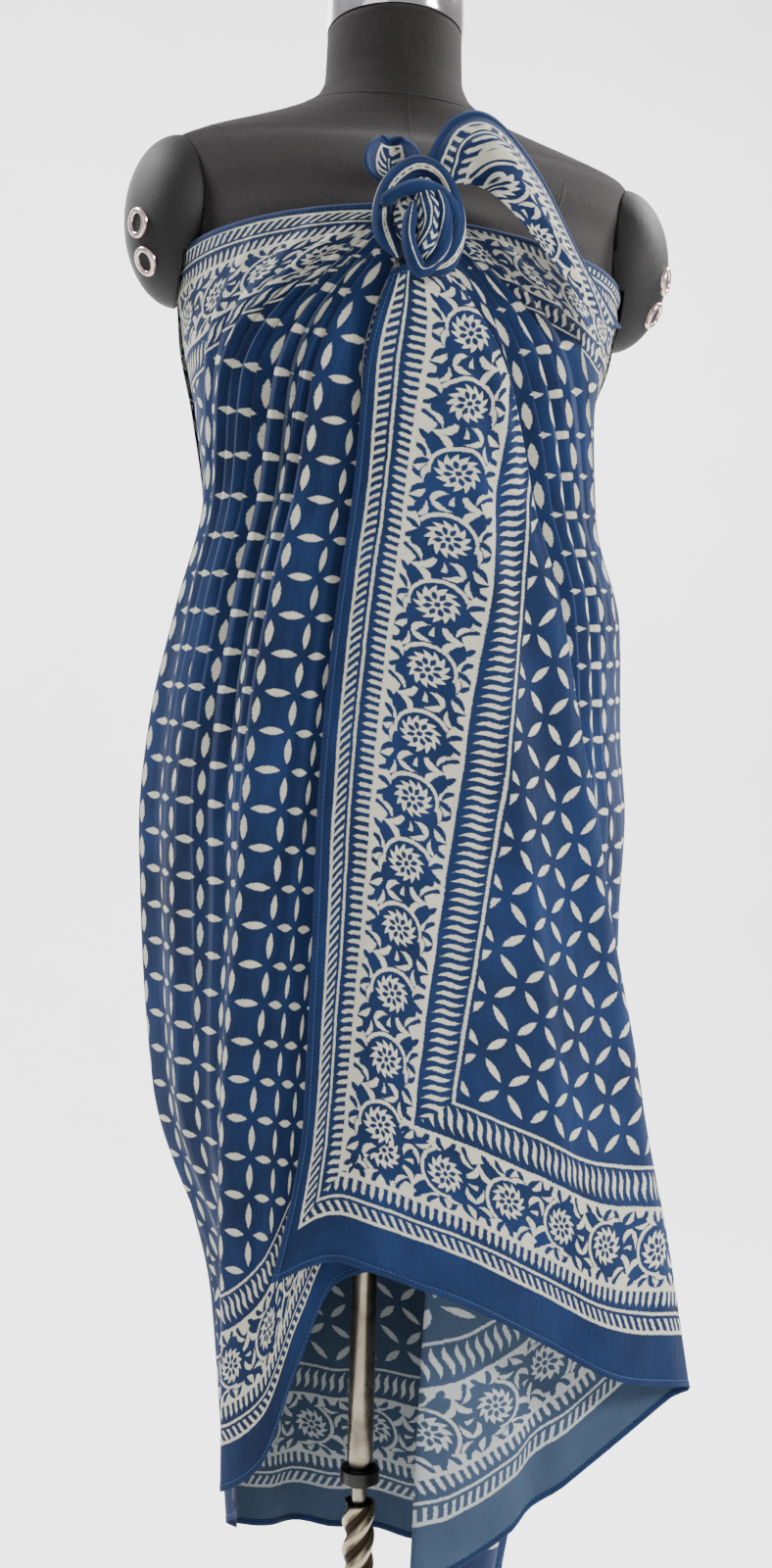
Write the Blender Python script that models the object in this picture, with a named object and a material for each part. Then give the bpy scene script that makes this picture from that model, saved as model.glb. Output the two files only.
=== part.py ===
"""A printed cotton sarong, tied in a knot at the chest of a limbless dress form on a pole stand.

Metres, +Z up. The form faces -Y. The origin is on the floor, under the middle of the round base.
The sarong is one rectangle of cloth, wrapped from the front, round the back, to the front again.
It is worked out from "hang lines", which run from the knot or the top edge down to the hem.
"""

import math
from functools import lru_cache

import bmesh
import bpy
from mathutils import Matrix, Vector

# The whole object
COLLECTION = "sarong_on_dress_form"
TOP_OF_CAP = 1.580
SEAM_GAP = 0.0003

# The cloth, as it was cut
WALL = 0.0015

# The heights that the hang lines are set at, between their own top and hem
BUST, WAIST, HIP, THIGH = 1.22, 1.07, 0.88, 0.70

# The wrap round the form without its folds: half widths and depths at each height
WRAP = (
    # height, left, right, front, back
    (1.345, 0.1690, 0.1870, 0.1480, 0.1150),
    (1.278, 0.1620, 0.1770, 0.1510, 0.1155),
    (1.220, 0.1500, 0.1620, 0.1500, 0.1130),
    (1.150, 0.1420, 0.1650, 0.1460, 0.1120),
    (1.070, 0.1560, 0.1880, 0.1430, 0.1180),
    (0.980, 0.1710, 0.1930, 0.1450, 0.1340),
    (0.910, 0.1760, 0.2000, 0.1480, 0.1450),
    (0.850, 0.1740, 0.1990, 0.1500, 0.1480),
    (0.740, 0.1720, 0.2000, 0.1520, 0.1480),
    (0.640, 0.1680, 0.2000, 0.1540, 0.1440),
    (0.530, 0.1600, 0.2000, 0.1560, 0.1410),
    (0.250, 0.1500, 0.2000, 0.1580, 0.1380),
)

# Hang lines, in order round the cloth from the front end's free edge to the back end's.
# Heights are in metres above the floor.
LINES = (
    # name, top height, hem height
    ("over_edge", 1.285, 0.585),
    ("over_a", 1.288, 0.604),
    ("over_b", 1.291, 0.582),
    ("over_c", 1.294, 0.537),
    ("over_d", 1.297, 0.505),
    ("fold_a", 1.300, 0.488),
    ("turn_a", 1.303, 0.478),
    ("inner_mid", 1.306, 0.405),
    ("turn_b", 1.309, 0.357),
    ("fold_b", 1.312, 0.352),
    ("after_b", 1.315, 0.345),
    ("right_front", 1.322, 0.318),
    ("right_a", 1.326, 0.312),
    ("right_side", 1.327, 0.306),
    ("right_back", 1.332, 0.293),
    ("back_right", 1.335, 0.280),
    ("back_mid", 1.335, 0.288),
    ("back_left", 1.335, 0.300),
    ("left_back", 1.335, 0.325),
    ("left_side", 1.335, 0.360),
    ("left_a", 1.335, 0.395),
    ("left_b", 1.327, 0.418),
    ("fold_c", 1.318, 0.426),
    ("under_a", 1.309, 0.453),
    ("under_b", 1.301, 0.530),
    ("under_c", 1.294, 0.589),
    ("under_edge", 1.288, 0.605),
)

# Where each line stands round the form: degrees from the centre front towards the right
ANGLES = {
    # name: top, bust, waist, hip, thigh, knee, hem
    "over_edge": (-10, -17, -21, -23, -25, -28, -33),
    "over_a": (-8, -13, -14, -14, -15, -16, -17),
    "over_b": (-6, -5, -2, 1, 2, 4, 5),
    "over_c": (-4, 6, 14, 21, 26, 28, 30),
    "over_d": (-2.5, 14, 25, 34, 42, 43, 45),
    "fold_a": (-1, 22, 35, 47, 59, 61, 61),
    "turn_a": (-0.8, 22.8, 36, 48, 60, 62, 62),
    "inner_mid": (-0.6, 17, 27, 36, 38, 43, 44),
    "turn_b": (-0.4, 13, 19, 21, 15, 16, 16),
    "fold_b": (-0.2, 12, 17, 17, 9, 8, 8),
    "after_b": (0.2, 14, 20, 21, 14, 14, 14),
    "right_front": (1, 28, 39, 43, 45, 44, 42),
    "right_a": (2, 44, 56, 62, 68, 70, 72),
    "right_side": (38, 72, 82, 88, 92, 96, 100),
    "right_back": (100, 112, 118, 122, 125, 128, 132),
    "back_right": (140, 146, 150, 152, 153, 155, 157),
    "back_mid": (178, 178, 179, 180, 180, 180, 180),
    "back_left": (214, 212, 210, 208, 207, 206, 206),
    "left_back": (245, 243, 240, 237, 234, 232, 230),
    "left_side": (306, 282, 271, 266, 262, 260, 258),
    "left_a": (352, 303, 292, 287, 285, 284, 283),
    "left_b": (352.2, 322, 312, 309, 304, 300, 300),
    "fold_c": (352.4, 332, 324, 320.5, 314, 311, 309),
    "under_a": (352.6, 338, 332, 329, 324, 323, 322),
    "under_b": (352.8, 343, 341, 338, 336, 334, 333),
    "under_c": (353, 351, 350, 348, 347, 345, 344),
    "under_edge": (354, 358, 364, 369, 372, 374, 377),
}

# How far each line stands out of the plain wrap, in millimetres, at the same heights
STAND_OUT = {
    "over_edge": (13.4, 3, 2, 2, 3, 4, 5),
    "over_a": (14.4, 3, 2, 2, 3, 4, 5),
    "over_b": (14.4, 3, 2, 2, 4, 6, 8),
    "over_c": (14.4, 3, 2, 3, 7, 10, 13),
    "over_d": (14.4, 3, 2, 4, 13, 25, 36),
    "fold_a": (14.8, 4, 4, 8, 26, 46, 64),
    "turn_a": (10, 0, -1, 1, 14, 32, 50),
    "inner_mid": (7, -3, -5, -6, -7, -12, -22),
    "turn_b": (4.5, -5, -7, -9, -18, -34, -50),
    "fold_b": (2, -8, -10, -13, -23, -42, -57),
    "after_b": (0, -11, -13, -16, -28, -50, -65),
    "right_front": (1, -9, -9, -12, -24, -48, -72),
    "right_a": (6, -3, -5, -6, -14, -60, -92),
    "right_side": (0, 0, 0, 0, -6, -62, -96),
    "right_back": (0, 0, 0, 0, -2, -30, -52),
    "back_right": (0, 0, 0, 0, 0, -4, -8),
    "back_mid": (0, 0, 0, 0, 0, 0, 0),
    "back_left": (0, 0, 0, 0, 0, -2, -4),
    "left_back": (0, 0, 0, 0, -3, -26, -34),
    "left_side": (0, 0, 0, 0, -8, -50, -56),
    "left_a": (8, 0, 0, -2, -12, -50, -50),
    "left_b": (8, -1, -6, -12, -18, -30, -26),
    "fold_c": (9, 3, 6, 7, 3, -2, -4),
    "under_a": (7, 0, -1, -1, -1, -2, -3),
    "under_b": (5, -4, -5, -5, -5, -5, -4),
    "under_c": (4, -6, -7, -7, -7, -7, -6),
    "under_edge": (3, -8, -10, -10, -11, -12, -12),
}

# Smaller folds that lie between the hang lines, as soft ridges: place is counted in lines,
# start, peak and end in shares of the way down, height in millimetres
RIDGES = (
    # place, half width, start, peak, end, height
    (4.35, 0.45, 0.00, 0.12, 0.55, 4.0),
    (3.30, 0.50, 0.02, 0.16, 0.60, 2.5),
    (11.45, 0.40, 0.02, 0.14, 0.60, 4.5),
    (12.05, 0.35, 0.00, 0.12, 0.48, 4.5),
    (12.60, 0.35, 0.00, 0.12, 0.40, 4.5),
    (13.10, 0.35, 0.10, 0.22, 0.55, 4.0),
    (12.50, 0.40, 0.45, 0.95, 1.60, 12.0),
    (13.55, 0.45, 0.25, 0.90, 1.60, 13.0),
    (14.50, 0.40, 0.20, 0.85, 1.60, 13.0),
    (15.50, 0.45, 0.30, 0.90, 1.60, 10.0),
    (16.40, 0.45, 0.25, 0.85, 1.60, 12.0),
    (17.40, 0.45, 0.30, 0.90, 1.60, 10.0),
    (18.35, 0.40, 0.25, 0.80, 1.40, 9.0),
    (19.20, 0.40, 0.10, 0.40, 1.10, 6.0),
    (19.75, 0.30, 0.00, 0.12, 0.50, 5.0),
    (20.30, 0.30, 0.00, 0.12, 0.55, 5.0),
    (20.85, 0.28, 0.00, 0.14, 0.60, 4.5),
    (21.35, 0.28, 0.00, 0.16, 0.70, 4.0),
    (23.40, 0.40, 0.05, 0.30, 0.90, 2.5),
)

# The stretches of the cloth that show, each a piece from one hang line to another
STRETCHES = (
    # name, first line, last line, columns for each line, colour
    ("sarong_over_panel", "over_edge", "fold_a", 4, (0.030, 0.105, 0.270)),
    ("sarong_inner_fold", "fold_a", "fold_b", 3, (0.045, 0.120, 0.280)),
    ("sarong_right_side", "fold_b", "right_back", 4, (0.030, 0.095, 0.240)),
    ("sarong_back", "right_back", "left_back", 4, (0.035, 0.100, 0.250)),
    ("sarong_left_side", "left_back", "fold_c", 5, (0.030, 0.095, 0.240)),
    ("sarong_under_panel", "fold_c", "under_edge", 4, (0.035, 0.105, 0.260)),
)
ROWS_DOWN = 15
ROW_CROWDING = 1.35

# The knot and its two ends, set from the pole's axis: right, up and towards the front
KNOT_CORE = {"at": (-0.014, 1.3175, 0.1765), "half": (0.0175, 0.0235, 0.011)}
KNOT_WRAP_RADIUS = 0.0064
KNOT_WRAP = (
    # right, up, front
    (-0.027, 1.291, 0.1716),
    (-0.039, 1.313, 0.1715),
    (-0.035, 1.338, 0.1720),
    (-0.017, 1.353, 0.1725),
    (0.002, 1.347, 0.1720),
    (0.013, 1.321, 0.1715),
    (0.008, 1.294, 0.1715),
    (-0.007, 1.281, 0.1715),
)
KNOT_END_RADIUS = 0.0050
KNOT_END = (
    # right, up, front
    (-0.022, 1.321, 0.1919),
    (-0.024, 1.297, 0.1895),
    (-0.014, 1.279, 0.1850),
    (-0.002, 1.291, 0.1885),
    (0.000, 1.315, 0.1900),
    (-0.006, 1.333, 0.1910),
)
TAIL_LEFT = (
    # left edge right, up, front; right edge right, up, front; how far the middle is cupped back
    (-0.036, 1.3410, 0.1645, -0.020, 1.3480, 0.1648, 0.0),
    (-0.048, 1.3510, 0.1620, -0.013, 1.3590, 0.1600, 0.008),
    (-0.051, 1.3630, 0.1600, -0.010, 1.3680, 0.1580, 0.013),
    (-0.045, 1.3760, 0.1540, -0.014, 1.3780, 0.1520, 0.009),
    (-0.034, 1.3840, 0.1470, -0.024, 1.3850, 0.1460, 0.003),
)
TAIL_RIGHT = (
    # outer edge right, up, front; inner edge right, up, front; how far the middle stands out
    (-0.012, 1.3570, 0.1650, 0.004, 1.3470, 0.1650, 0.0),
    (0.011, 1.3950, 0.1600, 0.028, 1.3460, 0.1690, 0.008),
    (0.040, 1.4010, 0.1570, 0.046, 1.3310, 0.1780, 0.012),
    (0.077, 1.3700, 0.1480, 0.074, 1.3060, 0.1740, 0.010),
    (0.113, 1.3200, 0.1350, 0.108, 1.2780, 0.1590, 0.007),
    (0.152, 1.2760, 0.1170, 0.141, 1.2700, 0.1300, 0.001),
)

# The form: half widths and depths of its level sections, from the bottom to the neck
FORM = (
    # height, left, right, front, back
    (0.730, 0.138, 0.150, 0.104, 0.116),
    (0.738, 0.147, 0.159, 0.113, 0.126),
    (0.800, 0.151, 0.163, 0.123, 0.134),
    (0.880, 0.154, 0.167, 0.126, 0.137),
    (0.970, 0.140, 0.154, 0.117, 0.121),
    (1.080, 0.118, 0.130, 0.108, 0.099),
    (1.150, 0.124, 0.138, 0.121, 0.103),
    (1.220, 0.140, 0.152, 0.134, 0.1101),
    (1.278, 0.157, 0.172, 0.136, 0.1128),
    (1.345, 0.166, 0.184, 0.117, 0.1123),
    (1.368, 0.171, 0.191, 0.104, 0.108),
    (1.390, 0.176, 0.197, 0.094, 0.103),
    (1.412, 0.178, 0.198, 0.081, 0.095),
    (1.424, 0.176, 0.194, 0.071, 0.086),
    (1.433, 0.160, 0.172, 0.066, 0.080),
    (1.442, 0.132, 0.142, 0.062, 0.074),
    (1.451, 0.104, 0.110, 0.059, 0.068),
    (1.462, 0.078, 0.080, 0.056, 0.062),
    (1.475, 0.0615, 0.062, 0.054, 0.057),
    (1.492, 0.0545, 0.0545, 0.053, 0.054),
    (1.5295, 0.053, 0.053, 0.053, 0.053),
)
FORM_SIDES = 32

# The caps over the cut arms, and the two eyelets in each
CAP_MIDDLES = (
    # which arm, side, right, up
    ("left", -1, 0.166, 1.367),
    ("right", 1, 0.187, 1.362),
)
CAP_HALF = (0.042, 0.054, 0.064)
CAP_ROOM = 0.0008
CLOTH_ROOM = 0.0035
EYELET_RADIUS = 0.0110
EYELET_WIRE = 0.0022
EYELET_LIFT = 0.0019
EYELET_TURN = 52
EYELET_TILTS = (-14, -40)

# The neck's metal cap
NECK_CAP = (
    # radius, height
    (0.0500, 1.5300),
    (0.0538, 1.5300),
    (0.0545, 1.5320),
    (0.0545, 1.5600),
    (0.0525, 1.5680),
    (0.0420, 1.5750),
    (0.0220, 1.5790),
    (0.0000, TOP_OF_CAP),
)

# The stand: a tube under the form slides on a rod that stands on a twisted column
TUBE_RADIUS = 0.0102
TUBE_BORE = 0.0068
FLANGE_RADIUS = 0.045
FLANGE_THICK = 0.006
TUBE_BOTTOM = 0.3985
COLLAR_BOTTOM = 0.386
COLLAR_RADIUS = 0.0155
ROD_RADIUS = 0.0060
ROD_TOP = 0.620
COLUMN_TOP = 0.370
COLUMN_BOTTOM = 0.052
COLUMN_RADIUS = 0.0112
COLUMN_LOBE = 0.0019
COLUMN_LOBES = 3
COLUMN_LEAD = 0.069
COLUMN_SIDES = 15
COLUMN_STEP = 0.0075
BASE = (
    # radius, height
    (0.0000, 0.0517),
    (0.0200, 0.0517),
    (0.0230, 0.0480),
    (0.0250, 0.0360),
    (0.0700, 0.0280),
    (0.1500, 0.0200),
    (0.1850, 0.0120),
    (0.1900, 0.0060),
    (0.1880, 0.0000),
    (0.0000, 0.0000),
)


def smooth(pairs, x):
    """The value at x of a smooth curve through (x, value) pairs that doesn't overshoot them."""
    pairs = sorted(pairs)
    if x <= pairs[0][0]:
        return pairs[0][1]
    if x >= pairs[-1][0]:
        return pairs[-1][1]
    steps = [(b[1] - a[1]) / (b[0] - a[0]) for a, b in zip(pairs, pairs[1:])]
    slopes = [steps[0]]
    for before, after in zip(steps, steps[1:]):
        flat = before * after <= 0
        slopes.append(0.0 if flat else 2 * before * after / (before + after))
    slopes.append(steps[-1])
    i = max(k for k in range(len(pairs) - 1) if pairs[k][0] <= x)
    (x0, y0), (x1, y1) = pairs[i], pairs[i + 1]
    h = x1 - x0
    f = (x - x0) / h
    near = (1 + 2 * f) * (1 - f) ** 2 * y0 + f * f * (3 - 2 * f) * y1
    return near + h * f * (1 - f) ** 2 * slopes[i] - h * f * f * (1 - f) * slopes[i + 1]


def through(point_at, last, place):
    """A point of the smooth curve through point_at(0) to point_at(last), which place counts."""
    i = min(max(int(math.floor(place)), 0), last - 1)
    f = place - i
    b, c = point_at(i), point_at(i + 1)
    a = point_at(i - 1) if i > 0 else 2 * b - c
    d = point_at(i + 2) if i + 2 <= last else 2 * c - b
    return (
        b
        + 0.5 * f * (c - a)
        + f * f * (a - 2.5 * b + 2 * c - 0.5 * d)
        + f * f * f * (1.5 * (b - c) + 0.5 * (d - a))
    )


def between(values_at, last, place):
    """As through(), for values that mustn't pass beyond those of the two nearest lines."""
    i = min(max(int(math.floor(place)), 0), last - 1)
    f = place - i
    b, c = values_at(i), values_at(i + 1)
    a = values_at(i - 1) if i > 0 else 2 * b - c
    d = values_at(i + 2) if i + 2 <= last else 2 * c - b
    found = []
    for k in range(3):
        steps = (b[k] - a[k], c[k] - b[k], d[k] - c[k])
        slopes = [
            0.0 if before * after <= 0 else 2 * before * after / (before + after)
            for before, after in zip(steps, steps[1:])
        ]
        near = (1 + 2 * f) * (1 - f) ** 2 * b[k] + f * f * (3 - 2 * f) * c[k]
        found.append(near + f * (1 - f) ** 2 * slopes[0] - f * f * (1 - f) * slopes[1])
    return found


def on_wrap(height, degrees, out):
    """The point at a height and angle on the plain wrap, moved out by a distance."""
    left, right, front, back = (
        smooth([(row[0], row[k]) for row in WRAP], height) for k in range(1, 5)
    )
    turn = math.radians(degrees)
    wide = right if math.sin(turn) >= 0 else left
    deep = front if math.cos(turn) >= 0 else back
    across = (wide + out) * math.sin(turn)
    return Vector((across, -(deep + out) * math.cos(turn), height))


@lru_cache(maxsize=None)
def line_values(number, share):
    """A hang line's angle, stand-out and height at a share of the way from its top to its hem."""
    name, top, hem = LINES[number]
    height = top + (hem - top) * share
    heights = (top, BUST, WAIST, HIP, THIGH, (THIGH + hem) / 2, hem)
    degrees = smooth(list(zip(heights, ANGLES[name])), height)
    out = smooth(list(zip(heights, STAND_OUT[name])), height)
    return Vector((degrees, out / 1000, height))


def bump(x):
    """A soft hump: 1 at 0, and 0 from 1 outwards."""
    return math.cos(min(abs(x), 1.0) * math.pi / 2) ** 2


def ridge_height(place, share):
    """How far the smaller folds lift the cloth there, in metres."""
    total = 0.0
    for middle, half, start, peak, end, height in RIDGES:
        side = peak - start if share < peak else end - peak
        total += height * bump((place - middle) / half) * bump((share - peak) / max(side, 1e-6))
    return total / 1000


def cloth_point(place, share):
    """The middle of the cloth, where place counts hang lines and share goes from top to hem."""
    degrees, out, height = between(lambda n: line_values(n, share), len(LINES) - 1, place)
    return on_wrap(height, degrees, out + ridge_height(place, share))


def cloth_directions(place, share):
    """The directions across and down the cloth, and out of the side that the over panel shows."""
    small = 0.02
    last = len(LINES) - 1
    across = cloth_point(min(place + small, last), share) - cloth_point(max(place - small, 0), share)
    down = cloth_point(place, min(share + small, 1)) - cloth_point(place, max(share - small, 0))
    return across.normalized(), down.normalized(), down.cross(across).normalized()


def material(name, colour, roughness, metallic=0.0):
    made = bpy.data.materials.new(name)
    made.use_nodes = True
    shader = made.node_tree.nodes["Principled BSDF"]
    shader.inputs["Base Color"].default_value = (*colour, 1.0)
    shader.inputs["Roughness"].default_value = roughness
    shader.inputs["Metallic"].default_value = metallic
    made.diffuse_color = (*colour, 1.0)
    return made


def place_object(name, mesh, finish, collection, sharp_degrees=40):
    thing = bpy.data.objects.new(name, mesh)
    thing.data.materials.append(finish)
    collection.objects.link(thing)
    mesh.shade_smooth()
    mesh.set_sharp_from_angle(angle=math.radians(sharp_degrees))
    return thing


def mesh_from(bm, name):
    bmesh.ops.recalc_face_normals(bm, faces=bm.faces)
    mesh = bpy.data.meshes.new(name)
    bm.to_mesh(mesh)
    bm.free()
    return mesh


def wall_mesh(name, outer, inner):
    """A closed wall between two grids of points, outer and inner, with the same rows."""
    bm = bmesh.new()
    faces = [[[bm.verts.new(p) for p in row] for row in grid] for grid in (outer, inner)]
    rows, columns = len(outer), len(outer[0])
    for grid in faces:
        for r in range(rows - 1):
            for c in range(columns - 1):
                bm.faces.new((grid[r][c], grid[r][c + 1], grid[r + 1][c + 1], grid[r + 1][c]))
    rim = [(0, c) for c in range(columns)]
    rim += [(r, columns - 1) for r in range(1, rows)]
    rim += [(rows - 1, c) for c in range(columns - 2, -1, -1)]
    rim += [(r, 0) for r in range(rows - 2, 0, -1)]
    for (r0, c0), (r1, c1) in zip(rim, rim[1:] + rim[:1]):
        bm.faces.new((faces[0][r0][c0], faces[0][r1][c1], faces[1][r1][c1], faces[1][r0][c0]))
    return mesh_from(bm, name)


def loft_mesh(name, rings):
    """A closed solid through level rings of points, with flat ends."""
    bm = bmesh.new()
    loops = [[bm.verts.new(p) for p in ring] for ring in rings]
    sides = len(loops[0])
    for low, high in zip(loops, loops[1:]):
        for k in range(sides):
            bm.faces.new((low[k], low[(k + 1) % sides], high[(k + 1) % sides], high[k]))
    bm.faces.new(loops[0])
    bm.faces.new(loops[-1])
    return mesh_from(bm, name)


def cloth_stretch(name, first, last, fineness, colour, collection):
    names = [row[0] for row in LINES]
    start, end = names.index(first), names.index(last)
    columns = (end - start) * fineness + 1
    places = [start + k / fineness for k in range(columns)]
    shares = [(k / ROWS_DOWN) ** ROW_CROWDING for k in range(ROWS_DOWN + 1)]
    outer, inner = [], []
    for share in shares:
        middle = [cloth_point(place, share) for place in places]
        directions = [cloth_directions(place, share) for place in places]
        normals = [out for _, _, out in directions]
        middle[0] = middle[0] + directions[0][0] * SEAM_GAP / 2
        middle[-1] = middle[-1] - directions[-1][0] * SEAM_GAP / 2
        outer.append([p + n * WALL / 2 for p, n in zip(middle, normals)])
        inner.append([p - n * WALL / 2 for p, n in zip(middle, normals)])
    finish = material(f"{name}_cotton", colour, 0.85)
    place_object(name, wall_mesh(name, outer, inner), finish, collection, 70)


def seen(right, up, front):
    """A point given by how far it is to the right, up and towards the front."""
    return Vector((right, -front, up))


def tube_piece(name, rows, radius, colour, collection):
    """A rolled end of cloth: a fat tube along a smooth curve, closed at both ends."""
    last = len(rows) - 1
    path = [through(lambda n: seen(*rows[n]), last, k / 3) for k in range(3 * last + 1)]
    curve = bpy.data.curves.new(name, "CURVE")
    curve.dimensions = "3D"
    spline = curve.splines.new("POLY")
    spline.points.add(len(path) - 1)
    for spline_point, place in zip(spline.points, path):
        spline_point.co = (*place, 1.0)
    curve.bevel_depth = radius
    curve.bevel_resolution = 3
    curve.use_fill_caps = True
    curve.materials.append(material(f"{name}_cotton", colour, 0.85))
    collection.objects.link(bpy.data.objects.new(name, curve))


def tail_piece(name, rows, side, colour, collection):
    """A free end of the cloth: a cupped wall between its two edges."""
    last = len(rows) - 1
    across, along = 8, 3 * last
    cups = [(k, row[6]) for k, row in enumerate(rows)]
    grid = []
    for k in range(along + 1):
        place = k / 3
        a = through(lambda n: seen(*rows[n][:3]), last, place)
        b = through(lambda n: seen(*rows[n][3:6]), last, place)
        cup = smooth(cups, place) * side
        grid.append(
            [a.lerp(b, c / across) + Vector((0, -cup * bump(2 * c / across - 1), 0))
             for c in range(across + 1)]
        )
    outer, inner = [], []
    for r, row in enumerate(grid):
        normals = []
        for c in range(across + 1):
            down = grid[min(r + 1, along)][c] - grid[max(r - 1, 0)][c]
            over = row[min(c + 1, across)] - row[max(c - 1, 0)]
            normals.append(down.cross(over).normalized())
        outer.append([p + n * WALL / 2 for p, n in zip(row, normals)])
        inner.append([p - n * WALL / 2 for p, n in zip(row, normals)])
    finish = material(f"{name}_cotton", colour, 0.85)
    place_object(name, wall_mesh(name, outer, inner), finish, collection, 70)


def knot_core(collection):
    bm = bmesh.new()
    bmesh.ops.create_uvsphere(bm, u_segments=16, v_segments=10, radius=1.0)
    bmesh.ops.scale(bm, vec=Vector((KNOT_CORE["half"][0], KNOT_CORE["half"][2],
                                    KNOT_CORE["half"][1])), verts=bm.verts)
    bmesh.ops.translate(bm, vec=seen(*KNOT_CORE["at"]), verts=bm.verts)
    finish = material("knot_core_cotton", (0.04, 0.11, 0.26), 0.85)
    place_object("knot_core", mesh_from(bm, "knot_core"), finish, collection)


def form_ring(height, left, right, front, back):
    ring = []
    for k in range(FORM_SIDES):
        turn = 2 * math.pi * k / FORM_SIDES
        s, c = math.sin(turn), math.cos(turn)
        ring.append(((right if s >= 0 else left) * s, -(front if c >= 0 else back) * c, height))
    return ring


def form_torso(collection):
    rings = [form_ring(*row) for row in FORM]
    finish = material("form_knit", (0.030, 0.028, 0.028), 0.9)
    place_object("form_torso", loft_mesh("form_torso", rings), finish, collection)


def cap_cutter(collection):
    """The form and the cloth's top edge, a little larger, which an arm cap stays clear of."""
    cloth_top = LINES[[row[0] for row in LINES].index("right_side")][1] + CLOTH_ROOM
    rings = []
    for height in [row[0] for row in FORM if row[0] < cloth_top] + [cloth_top]:
        wraps = [smooth([(row[0], row[k]) for row in WRAP], height) for k in range(1, 5)]
        rings.append(form_ring(height, *[size + CLOTH_ROOM for size in wraps]))
    for height, *sizes in FORM:
        if height > cloth_top:
            rings.append(form_ring(height, *[size + CAP_ROOM for size in sizes]))
    cutter = bpy.data.objects.new("arm_cap_cutter", loft_mesh("arm_cap_cutter", rings))
    cutter.hide_render = True
    cutter.display_type = "WIRE"
    collection.objects.link(cutter)
    return cutter


def arm_cap(name, middle, cutter, collection):
    bm = bmesh.new()
    bmesh.ops.create_uvsphere(bm, u_segments=24, v_segments=14, radius=1.0)
    bmesh.ops.scale(bm, vec=Vector(CAP_HALF), verts=bm.verts)
    bmesh.ops.translate(bm, vec=middle, verts=bm.verts)
    finish = material(f"{name}_vinyl", (0.012, 0.012, 0.013), 0.45)
    cap = place_object(name, mesh_from(bm, name), finish, collection)
    cut = cap.modifiers.new("seat", "BOOLEAN")
    cut.operation = "DIFFERENCE"
    cut.object = cutter


def eyelets(side, label, middle, collection):
    """Two metal rings that lie on the front of an arm cap."""
    finish = material(f"eyelet_{label}_metal", (0.72, 0.60, 0.58), 0.3, 1.0)
    for number, tilt in enumerate(EYELET_TILTS, start=1):
        turn, rise = math.radians(EYELET_TURN), math.radians(tilt)
        unit = Vector((side * math.sin(turn) * math.cos(rise), -math.cos(turn) * math.cos(rise),
                       math.sin(rise)))
        outward = Vector([u / h for h, u in zip(CAP_HALF, unit)]).normalized()
        place = middle + Vector([h * u for h, u in zip(CAP_HALF, unit)]) + outward * EYELET_LIFT
        bpy.ops.mesh.primitive_torus_add(
            major_radius=EYELET_RADIUS - EYELET_WIRE, minor_radius=EYELET_WIRE,
            major_segments=16, minor_segments=5,
        )
        ring = bpy.context.object
        ring.name = f"eyelet_{label}_{number}"
        faced = outward.to_track_quat("Z", "Y").to_matrix().to_4x4()
        ring.matrix_world = Matrix.Translation(place) @ faced
        ring.data.materials.append(finish)
        ring.data.shade_smooth()
        for owner in list(ring.users_collection):
            owner.objects.unlink(ring)
        collection.objects.link(ring)


def turned(name, profile, finish, collection, sides=32, closed=False):
    """A solid turned round the pole's axis from (radius, height) points."""
    bm = bmesh.new()
    verts = [bm.verts.new((r, 0, z)) for r, z in profile]
    pairs = list(zip(verts, verts[1:]))
    if closed:
        pairs.append((verts[-1], verts[0]))
    for a, b in pairs:
        bm.edges.new((a, b))
    bmesh.ops.spin(
        bm, geom=bm.verts[:] + bm.edges[:], cent=(0, 0, 0), axis=(0, 0, 1),
        angle=2 * math.pi, steps=sides, use_merge=False, use_duplicate=False,
    )
    bmesh.ops.remove_doubles(bm, verts=bm.verts, dist=1e-6)
    place_object(name, mesh_from(bm, name), finish, collection)


def twisted_column(collection):
    steps = round((COLUMN_TOP - COLUMN_BOTTOM) / COLUMN_STEP)
    rings = []
    for k in range(steps + 1):
        height = COLUMN_BOTTOM + (COLUMN_TOP - COLUMN_BOTTOM) * k / steps
        ring = []
        for j in range(COLUMN_SIDES):
            turn = 2 * math.pi * j / COLUMN_SIDES
            lobe = math.cos(COLUMN_LOBES * (turn - 2 * math.pi * height / COLUMN_LEAD))
            radius = COLUMN_RADIUS + COLUMN_LOBE * lobe
            ring.append((radius * math.cos(turn), radius * math.sin(turn), height))
        rings.append(ring)
    finish = material("column_brass", (0.42, 0.36, 0.30), 0.3, 1.0)
    place_object("column_twisted", loft_mesh("column_twisted", rings), finish, collection)


def stand(collection):
    steel = material("tube_chrome", (0.62, 0.60, 0.58), 0.22, 1.0)
    dark = material("collar_steel", (0.05, 0.05, 0.05), 0.35, 1.0)
    iron = material("base_iron", (0.03, 0.03, 0.03), 0.5)
    seat = FORM[0][0] - SEAM_GAP
    turned("pole_tube", (
        (TUBE_BORE, TUBE_BOTTOM), (TUBE_RADIUS, TUBE_BOTTOM),
        (TUBE_RADIUS, seat - FLANGE_THICK), (FLANGE_RADIUS, seat - FLANGE_THICK),
        (FLANGE_RADIUS, seat), (TUBE_BORE, seat),
    ), steel, collection, 24, closed=True)
    turned("pole_collar", (
        (TUBE_BORE, COLLAR_BOTTOM), (COLLAR_RADIUS, COLLAR_BOTTOM),
        (COLLAR_RADIUS, TUBE_BOTTOM - SEAM_GAP), (TUBE_BORE, TUBE_BOTTOM - SEAM_GAP),
    ), dark, collection, 24, closed=True)
    turned("pole_rod", (
        (0, ROD_TOP), (ROD_RADIUS, ROD_TOP),
        (ROD_RADIUS, COLUMN_TOP + SEAM_GAP), (0, COLUMN_TOP + SEAM_GAP),
    ), steel, collection, 16)
    turned("base_round", BASE, iron, collection, 40)


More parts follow.
